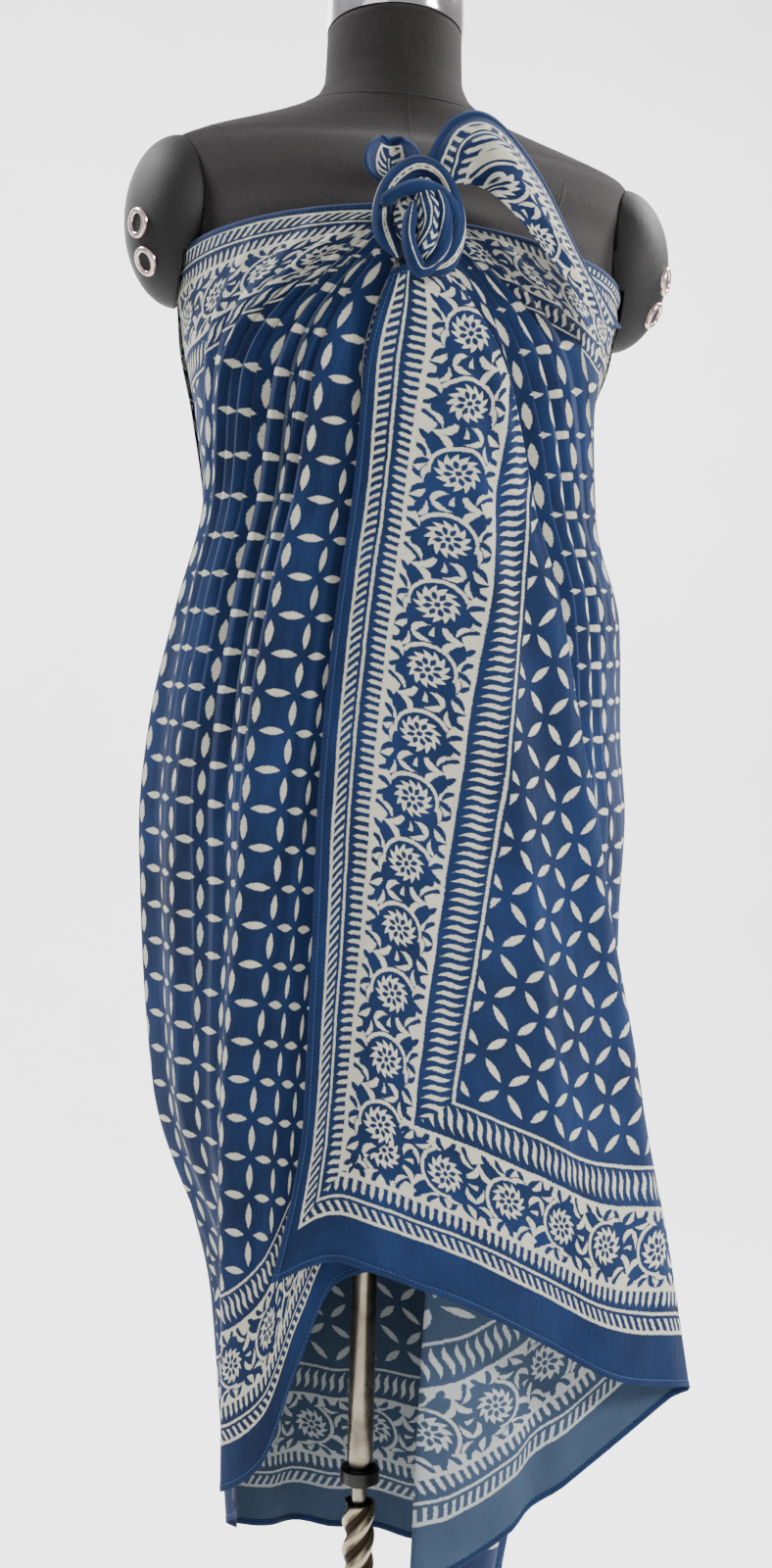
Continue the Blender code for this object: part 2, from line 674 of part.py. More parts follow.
def main():
    for thing in list(bpy.data.objects):
        bpy.data.objects.remove(thing)
    parts = bpy.data.collections.new(COLLECTION)
    cutters = bpy.data.collections.new("cutters")
    for made in (parts, cutters):
        bpy.context.scene.collection.children.link(made)

    for name, first, last, fineness, colour in STRETCHES:
        cloth_stretch(name, first, last, fineness, colour, parts)
    knot_core(parts)
    tube_piece("knot_wrap", KNOT_WRAP, KNOT_WRAP_RADIUS, (0.02, 0.08, 0.22), parts)
    tube_piece("knot_end", KNOT_END, KNOT_END_RADIUS, (0.02, 0.08, 0.22), parts)
    tail_piece("tail_left", TAIL_LEFT, -1, (0.03, 0.10, 0.26), parts)
    tail_piece("tail_right", TAIL_RIGHT, 1, (0.03, 0.10, 0.26), parts)

    form_torso(parts)
    cutter = cap_cutter(cutters)
    for label, side, right, up in CAP_MIDDLES:
        middle = seen(side * right, up, 0)
        arm_cap(f"arm_cap_{label}", middle, cutter, parts)
        eyelets(side, label, middle, parts)
    turned("neck_cap", ((0, NECK_CAP[0][1]),) + NECK_CAP,
           material("neck_cap_chrome", (0.75, 0.70, 0.70), 0.15, 1.0), parts, 32)
    stand(parts)
    twisted_column(parts)


main()
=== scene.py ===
"""The looks of a block-printed cotton sarong, tied at the chest of a limbless dress form on a stand.

The cloth is one thin sheet on the same hang lines as the solids, with its pleats and folds laid on
one by one, and its print is drawn by nodes in the cloth's own metres: across from the side edge of the
front end, and down from the top edge.
"""

import math

import bmesh
import bpy
import numpy as np
from mathutils import Matrix, Vector


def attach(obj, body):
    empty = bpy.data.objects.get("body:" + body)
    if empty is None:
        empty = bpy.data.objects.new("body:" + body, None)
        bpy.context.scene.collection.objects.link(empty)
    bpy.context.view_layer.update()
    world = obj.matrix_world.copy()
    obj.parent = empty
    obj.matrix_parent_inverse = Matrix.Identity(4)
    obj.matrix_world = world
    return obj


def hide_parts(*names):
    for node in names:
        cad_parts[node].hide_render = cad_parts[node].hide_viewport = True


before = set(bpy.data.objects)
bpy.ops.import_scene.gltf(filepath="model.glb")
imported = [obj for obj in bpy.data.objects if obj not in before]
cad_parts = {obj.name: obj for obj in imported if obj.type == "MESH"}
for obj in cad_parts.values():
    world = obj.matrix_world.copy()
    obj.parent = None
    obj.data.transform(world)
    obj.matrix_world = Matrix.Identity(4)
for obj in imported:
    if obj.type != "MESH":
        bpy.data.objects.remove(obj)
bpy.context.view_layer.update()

# The sheet as it was cut, in metres
CLOTH_WIDE = 1.80
CLOTH_LONG = 1.09
CLOTH_THICK = 0.0005
HEM_WIDE = 0.0055
HEM_THICK = 0.0011

# Rows and columns of the sheet's mesh
ROWS = 165
COLUMN_WIDTH = 0.0078
CREASE_STEP = 0.006

# How far a pleat doubles back under its top layer, as a share of its width, and how deep it lies
FOLD_GAIN = 1.25
PLEAT_DEPTH = 0.70
PLEAT_UNDER = 0.0012

# The heights that the hang lines are set at, between their own top and hem
BUST, WAIST, HIP, THIGH = 1.22, 1.07, 0.88, 0.70

# The wrap round the form without its folds: half widths and depths at each height
WRAP = (
    # height, left, right, front, back
    (1.345, 0.1690, 0.1870, 0.1480, 0.1150),
    (1.278, 0.1620, 0.1770, 0.1510, 0.1155),
    (1.220, 0.1500, 0.1620, 0.1500, 0.1130),
    (1.150, 0.1420, 0.1650, 0.1460, 0.1120),
    (1.070, 0.1560, 0.1880, 0.1430, 0.1180),
    (0.980, 0.1710, 0.1930, 0.1450, 0.1340),
    (0.910, 0.1760, 0.2000, 0.1480, 0.1450),
    (0.850, 0.1740, 0.1990, 0.1500, 0.1480),
    (0.740, 0.1720, 0.2000, 0.1520, 0.1480),
    (0.640, 0.1680, 0.2000, 0.1540, 0.1440),
    (0.530, 0.1600, 0.2000, 0.1560, 0.1410),
    (0.250, 0.1500, 0.2000, 0.1580, 0.1380),
)

# Hang lines, in order round the cloth from the front end's free edge to the back end's, with the
# place on the cut sheet where each starts at the top and ends at the hem, in metres
LINES = (
    # name, across at top, down at top, across at hem, top height, hem height
    ("over_edge", 0.000, 0.380, 0.000, 1.285, 0.585),
    ("over_a", 0.012, 0.376, 0.047, 1.288, 0.604),
    ("over_b", 0.026, 0.370, 0.117, 1.291, 0.582),
    ("over_c", 0.038, 0.362, 0.215, 1.294, 0.537),
    ("over_d", 0.048, 0.355, 0.295, 1.297, 0.505),
    ("fold_a", 0.058, 0.348, 0.370, 1.300, 0.488),
    ("turn_a", 0.062, 0.345, 0.388, 1.303, 0.478),
    ("inner_mid", 0.070, 0.335, 0.500, 1.306, 0.405),
    ("turn_b", 0.076, 0.325, 0.600, 1.309, 0.357),
    ("fold_b", 0.080, 0.318, 0.620, 1.312, 0.352),
    ("after_b", 0.085, 0.310, 0.640, 1.315, 0.345),
    ("right_front", 0.200, 0.190, 0.725, 1.322, 0.318),
    ("right_a", 0.390, 0.040, 0.800, 1.326, 0.312),
    ("right_side", 0.520, 0.015, 0.870, 1.327, 0.306),
    ("right_back", 0.720, 0.010, 0.950, 1.332, 0.293),
    ("back_right", 0.830, 0.010, 1.010, 1.335, 0.280),
    ("back_mid", 0.945, 0.010, 1.075, 1.335, 0.288),
    ("back_left", 1.060, 0.010, 1.140, 1.335, 0.300),
    ("left_back", 1.160, 0.010, 1.210, 1.335, 0.325),
    ("left_side", 1.310, 0.010, 1.280, 1.335, 0.360),
    ("left_a", 1.425, 0.005, 1.345, 1.335, 0.395),
    ("left_b", 1.500, 0.080, 1.410, 1.327, 0.418),
    ("fold_c", 1.600, 0.180, 1.440, 1.318, 0.426),
    ("under_a", 1.650, 0.230, 1.486, 1.309, 0.453),
    ("under_b", 1.700, 0.280, 1.565, 1.301, 0.530),
    ("under_c", 1.750, 0.330, 1.640, 1.294, 0.589),
    ("under_edge", 1.800, 0.380, 1.800, 1.288, 0.605),
)

# Where each line stands round the form: degrees from the centre front towards the right
ANGLES = {
    # name: top, bust, waist, hip, thigh, knee, hem
    "over_edge": (-10, -17, -21, -23, -25, -28, -33),
    "over_a": (-8, -13, -14, -14, -15, -16, -17),
    "over_b": (-6, -5, -2, 1, 2, 4, 5),
    "over_c": (-4, 6, 14, 21, 26, 28, 30),
    "over_d": (-2.5, 14, 25, 34, 42, 43, 45),
    "fold_a": (-1, 22, 35, 47, 59, 61, 61),
    "turn_a": (-0.8, 22.8, 36, 48, 60, 62, 62),
    "inner_mid": (-0.6, 17, 27, 36, 38, 43, 44),
    "turn_b": (-0.4, 13, 19, 21, 15, 16, 16),
    "fold_b": (-0.2, 12, 17, 17, 9, 8, 8),
    "after_b": (0.2, 14, 20, 21, 14, 14, 14),
    "right_front": (1, 28, 39, 43, 45, 44, 42),
    "right_a": (2, 44, 56, 62, 68, 70, 72),
    "right_side": (38, 72, 82, 88, 92, 96, 100),
    "right_back": (100, 112, 118, 122, 125, 128, 132),
    "back_right": (140, 146, 150, 152, 153, 155, 157),
    "back_mid": (178, 178, 179, 180, 180, 180, 180),
    "back_left": (214, 212, 210, 208, 207, 206, 206),
    "left_back": (245, 243, 240, 237, 234, 232, 230),
    "left_side": (306, 282, 271, 266, 262, 260, 258),
    "left_a": (352, 303, 292, 287, 285, 284, 283),
    "left_b": (352.2, 322, 312, 309, 304, 300, 300),
    "fold_c": (352.4, 332, 324, 320.5, 314, 311, 309),
    "under_a": (352.6, 338, 332, 329, 324, 323, 322),
    "under_b": (352.8, 343, 341, 338, 336, 334, 333),
    "under_c": (353, 351, 350, 348, 347, 345, 344),
    "under_edge": (354, 358, 364, 369, 372, 374, 377),
}

# How far each line stands out of the plain wrap, in millimetres, at the same heights
STAND_OUT = {
    "over_edge": (13.4, 3, 2, 2, 3, 4, 5),
    "over_a": (14.4, 3, 2, 2, 3, 4, 5),
    "over_b": (14.4, 3, 2, 2, 4, 6, 8),
    "over_c": (14.4, 3, 2, 3, 7, 10, 13),
    "over_d": (14.4, 3, 2, 4, 13, 25, 36),
    "fold_a": (14.8, 4, 4, 8, 26, 46, 64),
    "turn_a": (10, 0, -1, 1, 14, 32, 50),
    "inner_mid": (7, -3, -5, -6, -7, -12, -22),
    "turn_b": (4.5, -5, -7, -9, -18, -34, -50),
    "fold_b": (2, -8, -10, -13, -23, -42, -57),
    "after_b": (0, -11, -13, -16, -28, -50, -65),
    "right_front": (1, -9, -9, -12, -24, -48, -72),
    "right_a": (6, -3, -5, -6, -14, -60, -92),
    "right_side": (0, 0, 0, 0, -6, -62, -96),
    "right_back": (0, 0, 0, 0, -2, -30, -52),
    "back_right": (0, 0, 0, 0, 0, -4, -8),
    "back_mid": (0, 0, 0, 0, 0, 0, 0),
    "back_left": (0, 0, 0, 0, 0, -2, -4),
    "left_back": (0, 0, 0, 0, -3, -26, -34),
    "left_side": (0, 0, 0, 0, -8, -50, -56),
    "left_a": (8, 0, 0, -2, -12, -50, -50),
    "left_b": (8, -1, -6, -12, -18, -30, -26),
    "fold_c": (9, 3, 6, 7, 3, -2, -4),
    "under_a": (7, 0, -1, -1, -1, -2, -3),
    "under_b": (5, -4, -5, -5, -5, -5, -4),
    "under_c": (4, -6, -7, -7, -7, -7, -6),
    "under_edge": (3, -8, -10, -10, -11, -12, -12),
}

# Smaller folds that lie between the hang lines, as soft ridges: place is counted in lines,
# start, peak and end in shares of the way down, height in millimetres
RIDGES = (
    # place, half width, start, peak, end, height
    (4.35, 0.45, 0.00, 0.12, 0.55, 4.0),
    (3.30, 0.50, 0.02, 0.16, 0.60, 2.5),
    (11.45, 0.40, 0.02, 0.14, 0.60, 4.5),
    (12.05, 0.35, 0.00, 0.12, 0.48, 4.5),
    (12.60, 0.35, 0.00, 0.12, 0.40, 4.5),
    (13.10, 0.35, 0.10, 0.22, 0.55, 4.0),
    (12.50, 0.40, 0.45, 0.95, 1.60, 12.0),
    (13.55, 0.45, 0.25, 0.90, 1.60, 13.0),
    (14.50, 0.40, 0.20, 0.85, 1.60, 13.0),
    (15.50, 0.45, 0.30, 0.90, 1.60, 10.0),
    (16.40, 0.45, 0.25, 0.85, 1.60, 12.0),
    (17.40, 0.45, 0.30, 0.90, 1.60, 10.0),
    (18.35, 0.40, 0.25, 0.80, 1.40, 9.0),
    (19.20, 0.40, 0.10, 0.40, 1.10, 6.0),
    (19.75, 0.30, 0.00, 0.12, 0.50, 5.0),
    (20.30, 0.30, 0.00, 0.12, 0.55, 5.0),
    (20.85, 0.28, 0.00, 0.14, 0.60, 4.5),
    (21.35, 0.28, 0.00, 0.16, 0.70, 4.0),
    (23.40, 0.40, 0.05, 0.30, 0.90, 2.5),
)

# The knot and its two ends, set from the pole's axis: right, up and towards the front
KNOT_CORE = {"at": (-0.014, 1.3175, 0.1765), "half": (0.0175, 0.0235, 0.011)}
KNOT_WRAP_RADIUS = 0.0064
KNOT_WRAP = (
    # right, up, front
    (-0.027, 1.291, 0.1716),
    (-0.039, 1.313, 0.1715),
    (-0.035, 1.338, 0.1720),
    (-0.017, 1.353, 0.1725),
    (0.002, 1.347, 0.1720),
    (0.013, 1.321, 0.1715),
    (0.008, 1.294, 0.1715),
    (-0.007, 1.281, 0.1715),
)
KNOT_END_RADIUS = 0.0050
KNOT_END = (
    # right, up, front
    (-0.022, 1.321, 0.1919),
    (-0.024, 1.297, 0.1895),
    (-0.014, 1.279, 0.1850),
    (-0.002, 1.291, 0.1885),
    (0.000, 1.315, 0.1900),
    (-0.006, 1.333, 0.1910),
)
TAIL_LEFT = (
    # left edge right, up, front; right edge right, up, front; how far the middle is cupped back
    (-0.036, 1.3410, 0.1645, -0.020, 1.3480, 0.1648, 0.0),
    (-0.048, 1.3510, 0.1620, -0.013, 1.3590, 0.1600, 0.008),
    (-0.051, 1.3630, 0.1600, -0.010, 1.3680, 0.1580, 0.013),
    (-0.045, 1.3760, 0.1540, -0.014, 1.3780, 0.1520, 0.009),
    (-0.034, 1.3840, 0.1470, -0.024, 1.3850, 0.1460, 0.003),
)
TAIL_RIGHT = (
    # outer edge right, up, front; inner edge right, up, front; how far the middle stands out
    (-0.012, 1.3570, 0.1650, 0.004, 1.3470, 0.1650, 0.0),
    (0.011, 1.3950, 0.1600, 0.028, 1.3460, 0.1690, 0.008),
    (0.040, 1.4010, 0.1570, 0.046, 1.3310, 0.1780, 0.012),
    (0.077, 1.3700, 0.1480, 0.074, 1.3060, 0.1740, 0.010),
    (0.113, 1.3200, 0.1350, 0.108, 1.2780, 0.1590, 0.007),
    (0.152, 1.2760, 0.1170, 0.141, 1.2700, 0.1300, 0.001),
)

# How the print lies on the two free ends: the right one's slope in degrees and the place of its
# tip down the sheet, the left one's width and length, and the first place in from the sheet's edge
TAIL_RIGHT_SLOPE = 15.0
TAIL_RIGHT_DOWN = 0.152
TAIL_LEFT_WIDE = 0.040
TAIL_LEFT_LONG = 0.046
TAIL_RIGHT_STRETCH = (1.05, 1.15)
TAIL_LEFT_STRETCH = 1.3
TAIL_LEFT_DOWN = 0.50
SHEET_EDGE = 0.0005

# The form: half widths and depths of its level sections, from the bottom to the neck
FORM = (
    # height, left, right, front, back
    (0.730, 0.138, 0.150, 0.104, 0.116),
    (0.738, 0.147, 0.159, 0.113, 0.126),
    (0.800, 0.151, 0.163, 0.123, 0.134),
    (0.880, 0.154, 0.167, 0.126, 0.137),
    (0.970, 0.140, 0.154, 0.117, 0.121),
    (1.080, 0.118, 0.130, 0.108, 0.099),
    (1.150, 0.124, 0.138, 0.121, 0.103),
    (1.220, 0.140, 0.152, 0.134, 0.1101),
    (1.278, 0.157, 0.172, 0.136, 0.1128),
    (1.345, 0.166, 0.184, 0.117, 0.1123),
    (1.368, 0.171, 0.191, 0.104, 0.108),
    (1.390, 0.176, 0.197, 0.094, 0.103),
    (1.412, 0.178, 0.198, 0.081, 0.095),
    (1.424, 0.176, 0.194, 0.071, 0.086),
    (1.433, 0.160, 0.172, 0.066, 0.080),
    (1.442, 0.132, 0.142, 0.062, 0.074),
    (1.451, 0.104, 0.110, 0.059, 0.068),
    (1.462, 0.078, 0.080, 0.056, 0.062),
    (1.475, 0.0615, 0.062, 0.054, 0.057),
    (1.492, 0.0545, 0.0545, 0.053, 0.054),
    (1.5295, 0.053, 0.053, 0.053, 0.053),
)

# The hem's stitches, and the width of the tails' hems
STITCH_PITCH = 0.0032
STITCH_LONG = 0.0022
STITCH_WIDE = 0.00045
STITCH_HIGH = 0.00022
STITCH_INSET = 0.0007
STITCH_START = 0.0004
TAIL_HEM = 0.0045

# The rolls of the knot: sides, steps between points, radius inside the creases, twist in radians,
# creases, and the width of cloth that they show, folded
ROLL_SIDES = 64
ROLL_STEPS = 16
ROLL_BODY = 0.80
ROLL_TWIST = 2.2
ROLL_CREASES = (
    # waves round it, height, slide along it
    (2, 0.20, 1.5),
    (5, 0.06, -4.0),
    (9, 0.04, 7.0),
)
ROLL_WIDE = 0.0125

# A narrow band of the left end that crosses the front of the knot
KNOT_BAND_RADIUS = 0.0046
KNOT_BAND = (
    # right, up, front
    (-0.041, 1.3230, 0.1770),
    (-0.033, 1.3290, 0.1840),
    (-0.018, 1.3330, 0.1890),
    (-0.003, 1.3300, 0.1895),
    (0.008, 1.3190, 0.1830),
    (0.010, 1.3040, 0.1765),
)

# The printed tongue of the end that hangs inside the loop
KNOT_TONGUE_RADIUS = 0.0074
KNOT_TONGUE = (
    # right, up, front
    (-0.0150, 1.3400, 0.1800),
    (-0.0125, 1.3240, 0.1880),
    (-0.0110, 1.3060, 0.1885),
    (-0.0110, 1.2850, 0.1835),
)

# Each roll of the knot: where its cloth lies on the cut sheet, how its fold starts, how it is
# turned, and the node that it stands for
KNOT_ROLLS = (
    # name, path, radius, across, down, start of the fold, turn, node
    ("knot_roll", KNOT_WRAP, KNOT_WRAP_RADIUS, 0.004, 0.30, 0.004, 0.4, "knot_wrap"),
    ("knot_loop", KNOT_END, KNOT_END_RADIUS, 0.002, 0.20, 0.010, 2.1, "knot_end"),
    ("knot_band", KNOT_BAND, KNOT_BAND_RADIUS, 0.000, 0.40, 0.005, 1.1, None),
    ("knot_tongue", KNOT_TONGUE, KNOT_TONGUE_RADIUS, 0.018, 0.62, 0.003, 0.2, None),
)

# Soft folds of the two free ends
TAIL_RIGHT_FOLDS = (
    # share across at base, at tip, half width, start, peak, end, height mm
    (0.55, 0.30, 0.16, 0.02, 0.22, 0.60, 3.0),
    (0.80, 0.60, 0.14, 0.00, 0.20, 0.70, 2.4),
    (0.25, 0.20, 0.12, 0.05, 0.20, 0.45, 1.6),
    (0.70, 0.75, 0.16, 0.40, 0.65, 0.98, 2.0),
)
TAIL_LEFT_FOLDS = (
    # share across at base, at tip, half width, start, peak, end, height mm
    (0.35, 0.30, 0.14, 0.00, 0.30, 0.80, 1.8),
    (0.68, 0.72, 0.12, 0.00, 0.25, 0.70, 1.6),
)

# Seams of the form's cover: centre front, one over each bust, centre back, one over each shoulder
FORM_SEAMS = (
    # height, degrees
    ((1.330, 0), (1.400, 0), (1.461, 0)),
    ((1.330, -42), (1.365, -44), (1.400, -46), (1.425, -52), (1.436, -70), (1.440, -90)),
    ((1.330, 33), (1.365, 35), (1.400, 38), (1.425, 46), (1.436, 68), (1.440, 90)),
    ((1.330, 180), (1.400, 180), (1.461, 180)),
    ((1.330, -140), (1.400, -136), (1.425, -128), (1.436, -110), (1.440, -90)),
    ((1.330, 140), (1.400, 136), (1.425, 128), (1.436, 110), (1.440, 90)),
)
FORM_SIDES = 128
SEAM_STEPS = 60
SEAM_TURN = 0.55
SEAM_RISE = 0.0006
NECK_SEAM = 1.4625
NECK_SEAM_DIP = -0.0030
NECK_SEAM_HALF = 0.0010

# The caps over the cut arms, and the two eyelets in each
CAP_MIDDLES = (
    # which arm, side, right, up
    ("left", -1, 0.166, 1.367),
    ("right", 1, 0.187, 1.362),
)
CAP_HALF = (0.042, 0.054, 0.064)
CAP_SIDES = (72, 44)
CAP_CUT_SIDES = 96
CAP_ROOM = 0.0008
CLOTH_ROOM = 0.0035
CAP_CUT_BOTTOM = 1.25
EYELET_TURN = 52
EYELET_TILTS = (-14, -40)
GROMMET = (
    # radius, height above the cap
    (0.0110, -0.0010),
    (0.0110, 0.0008),
    (0.0104, 0.0019),
    (0.0092, 0.0025),
    (0.0078, 0.0025),
    (0.0068, 0.0018),
    (0.0064, 0.0006),
    (0.0064, -0.0010),
)
# A dark disc in each eyelet, which is painted shade where its hole is
GROMMET_HOLE_SHADE = (
    # radius, height above the cap
    (0.0066, 0.0004),
    (0.0040, 0.0002),
    (0.0000, 0.0001),
)

# The neck's metal cap
NECK_CAP = (
    # radius, height
    (0.0500, 1.5300),
    (0.0538, 1.5300),
    (0.0545, 1.5320),
    (0.0545, 1.5600),
    (0.0540, 1.5640),
    (0.0525, 1.5680),
    (0.0490, 1.5715),
    (0.0420, 1.5750),
    (0.0330, 1.5773),
    (0.0220, 1.5790),
    (0.0000, 1.5800),
)

# The stand: a tube under the form slides on a rod that stands on a twisted column
SEAM_GAP = 0.0003
TUBE_RADIUS = 0.0102
TUBE_BORE = 0.0068
FLANGE_RADIUS = 0.045
FLANGE_THICK = 0.006
TUBE_BOTTOM = 0.3985
COLLAR_BOTTOM = 0.386
COLLAR_RADIUS = 0.0155
ROD_RADIUS = 0.0060
ROD_TOP = 0.620
COLUMN_TOP = 0.370
COLUMN_BOTTOM = 0.052
COLUMN_RADIUS = 0.0112
COLUMN_LOBE = 0.0019
COLUMN_LOBES = 3
COLUMN_LEAD = 0.069
COLUMN_SIDES = 60
COLUMN_STEPS = 190
BASE = (
    # radius, height
    (0.0000, 0.0517),
    (0.0190, 0.0517),
    (0.0210, 0.0510),
    (0.0230, 0.0480),
    (0.0238, 0.0420),
    (0.0250, 0.0360),
    (0.0300, 0.0345),
    (0.0700, 0.0280),
    (0.1500, 0.0200),
    (0.1700, 0.0165),
    (0.1850, 0.0120),
    (0.1890, 0.0085),
    (0.1900, 0.0060),
    (0.1893, 0.0020),
    (0.1880, 0.0000),
    (0.0000, 0.0000),
)

# The photograph's size, and the camera that stands where it was taken from
PHOTO_HIGH = 1600
SENSOR_HIGH = 36.0
CAMERA_AZIMUTH = -11.0
CAMERA_DISTANCE = 1.2075
CAMERA_HEIGHT = 0.90
CAMERA_FOCUS = 1554.0
CAMERA_SHIFT = (11.0, 50.0)
CAMERA_ROLL = 1.4

# The floor runs back into a round and a backdrop, in metres
FLOOR_HALF = 6.0
FLOOR_FRONT = -4.0
FLOOR_BACK = 2.2
BACKDROP_ROUND = 1.2
BACKDROP_TOP = 5.0

WORLD_STRENGTH = 0.60
WORLD_COLOUR = (0.93, 0.96, 1.0, 1.0)
LAMPS = (
    # name, at, aimed at, size, watts, colour
    ("key_light", (2.3, -2.0, 2.1), (0.0, 0.0, 1.0), 0.8, 165, (1.0, 0.99, 0.97)),
    ("fill_light", (-2.0, -2.2, 1.4), (0.0, 0.0, 0.9), 2.2, 16, (0.95, 0.97, 1.0)),
    ("back_light", (-1.2, 2.2, 2.2), (0.0, 0.0, 1.1), 1.6, 30, (1.0, 1.0, 1.0)),
    ("backdrop_light_left", (-1.9, 0.6, 3.2), (-0.6, 2.6, 0.6), 1.2, 260, (1.0, 1.0, 1.0)),
    ("backdrop_light_right", (1.9, 0.6, 3.2), (0.6, 2.6, 0.6), 1.2, 260, (1.0, 1.0, 1.0)),
)

# Sharp pleat edges: where they lie in hang lines, which side is on top, and how they fade
CREASES = (
    # place, side on top, height mm, width mm, start, peak, end
    (10.60, 1, 3.4, 13, 0.00, 0.16, 0.80),
    (10.90, 1, 2.6, 11, 0.00, 0.16, 0.50),
    (11.25, 1, 4.0, 13, 0.00, 0.15, 0.68),
    (11.60, 1, 3.4, 12, 0.00, 0.12, 0.50),
    (11.90, 1, 4.0, 13, 0.00, 0.13, 0.56),
    (12.20, 1, 3.4, 12, 0.00, 0.11, 0.44),
    (12.50, 1, 3.4, 13, 0.00, 0.10, 0.40),
    (12.88, 1, 2.8, 14, 0.00, 0.10, 1.20),
    (13.50, -1, 2.0, 15, 0.00, 0.06, 0.24),
    (18.50, 1, 2.0, 16, 0.00, 0.08, 0.26),
    (19.17, -1, 2.6, 15, 0.00, 0.10, 1.20),
    (19.45, -1, 3.0, 13, 0.00, 0.09, 0.36),
    (19.70, -1, 3.4, 12, 0.00, 0.10, 0.44),
    (19.95, -1, 4.0, 13, 0.00, 0.12, 0.56),
    (20.20, -1, 3.4, 12, 0.00, 0.12, 0.50),
    (20.45, -1, 4.2, 12, 0.00, 0.13, 0.66),
    (20.75, -1, 4.2, 13, 0.00, 0.18, 0.85),
    (21.05, -1, 3.0, 11, 0.00, 0.14, 0.50),
    (21.35, -1, 3.6, 11, 0.00, 0.16, 0.66),
    (21.70, -1, 3.6, 11, 0.00, 0.20, 0.80),
)

# Long soft troughs and swells that follow the way the cloth hangs
SOFT_FOLDS = (
    # place at top, place at hem, half width mm, start, peak, end, height mm
    (1.10, 1.40, 26, 0.05, 0.95, 1.50, 4.0),
    (2.20, 2.30, 22, 0.10, 0.60, 1.20, -2.5),
    (3.10, 3.20, 28, 0.00, 0.45, 1.10, 3.0),
    (4.30, 3.90, 24, 0.00, 0.30, 0.90, -2.4),
    (4.70, 4.60, 20, 0.10, 0.75, 1.30, 3.0),
    (2.70, 3.60, 16, 0.35, 0.70, 1.10, 1.6),
    (7.30, 7.10, 26, 0.40, 0.95, 1.50, -5.0),
    (12.40, 12.20, 18, 0.20, 0.50, 0.95, 2.4),
    (13.20, 13.10, 22, 0.10, 0.45, 0.95, 2.4),
    (14.10, 14.20, 26, 0.15, 0.55, 1.05, -3.0),
    (15.10, 15.00, 30, 0.10, 0.50, 1.10, 3.2),
    (16.10, 16.00, 26, 0.15, 0.60, 1.10, -3.0),
    (17.05, 17.00, 30, 0.10, 0.55, 1.10, 3.0),
    (18.00, 18.10, 24, 0.15, 0.60, 1.10, -2.6),
    (19.00, 19.05, 22, 0.20, 0.60, 1.05, 3.0),
    (19.60, 19.60, 18, 0.25, 0.60, 1.00, -2.0),
    (20.20, 20.10, 18, 0.25, 0.65, 1.05, 2.6),
    (21.10, 20.90, 14, 0.20, 0.60, 1.00, 2.2),
    (22.80, 22.90, 18, 0.20, 0.60, 1.10, -1.8),
    (24.10, 24.20, 22, 0.10, 0.60, 1.20, 2.0),
)

# Rolls of the top edge, which lies in soft folds at the sides and round the back
TOP_ROLLS = (
    # down the cloth mm, half width mm, height mm
    (7, 6, 1.6),
    (20, 6, 1.3),
    (33, 7, 1.0),
)
TOP_ROLL_PLACES = (11.6, 12.4, 19.6, 20.2)

# Where pleats turn the cloth so that its lattice runs along them: first, middle and last place
PLEAT_FANS = (
    (10.9, 11.6, 12.88),
    (19.17, 21.9, 25.0),
)
PLEATS_OPEN = 0.55
PLEAT_CENTRE = (0.0, -0.17, 1.32)
PLEAT_SQUASH = 0.45

# The unprinted edge of the cloth: at the two ends, along the hem, and along the top, in mm
PRINT_EDGE_SIDE = 13.5
PRINT_EDGE_HEM = 34.0
PRINT_EDGE_TOP = 14.5

# The colours of the cloth's two sides, and how strongly the white of the print shows on each
RIGHT_SIDE = {
    "blue": (0.0052, 0.0212, 0.078),
    "blue_deep": (0.0020, 0.0070, 0.028),
    "white": (0.45, 0.435, 0.350),
    "strength": 1.0,
}
WRONG_SIDE = {
    "blue": (0.036, 0.059, 0.100),
    "blue_deep": (0.022, 0.038, 0.068),
    "white": (0.42, 0.44, 0.43),
    "strength": 0.8,
}


def smooth(pairs, x):
    """The value at x of a smooth curve through (x, value) pairs that doesn't overshoot them."""
    pairs = sorted(pairs)
    if x <= pairs[0][0]:
        return pairs[0][1]
    if x >= pairs[-1][0]:
        return pairs[-1][1]
    steps = [(b[1] - a[1]) / (b[0] - a[0]) for a, b in zip(pairs, pairs[1:])]
    slopes = [steps[0]]
    for before, after in zip(steps, steps[1:]):
        flat = before * after <= 0
        slopes.append(0.0 if flat else 2 * before * after / (before + after))
    slopes.append(steps[-1])
    i = max(k for k in range(len(pairs) - 1) if pairs[k][0] <= x)
    (x0, y0), (x1, y1) = pairs[i], pairs[i + 1]
    h = x1 - x0
    f = (x - x0) / h
    near = (1 + 2 * f) * (1 - f) ** 2 * y0 + f * f * (3 - 2 * f) * y1
    return near + h * f * (1 - f) ** 2 * slopes[i] - h * f * f * (1 - f) * slopes[i + 1]


def line_values(number, share):
    """A hang line's angle, stand-out and height at a share of the way from its top to its hem."""
    name, top, hem = LINES[number][0], LINES[number][4], LINES[number][5]
    height = top + (hem - top) * share
    heights = (top, BUST, WAIST, HIP, THIGH, (THIGH + hem) / 2, hem)
    degrees = smooth(list(zip(heights, ANGLES[name])), height)
    out = smooth(list(zip(heights, STAND_OUT[name])), height)
    return degrees, out / 1000, height


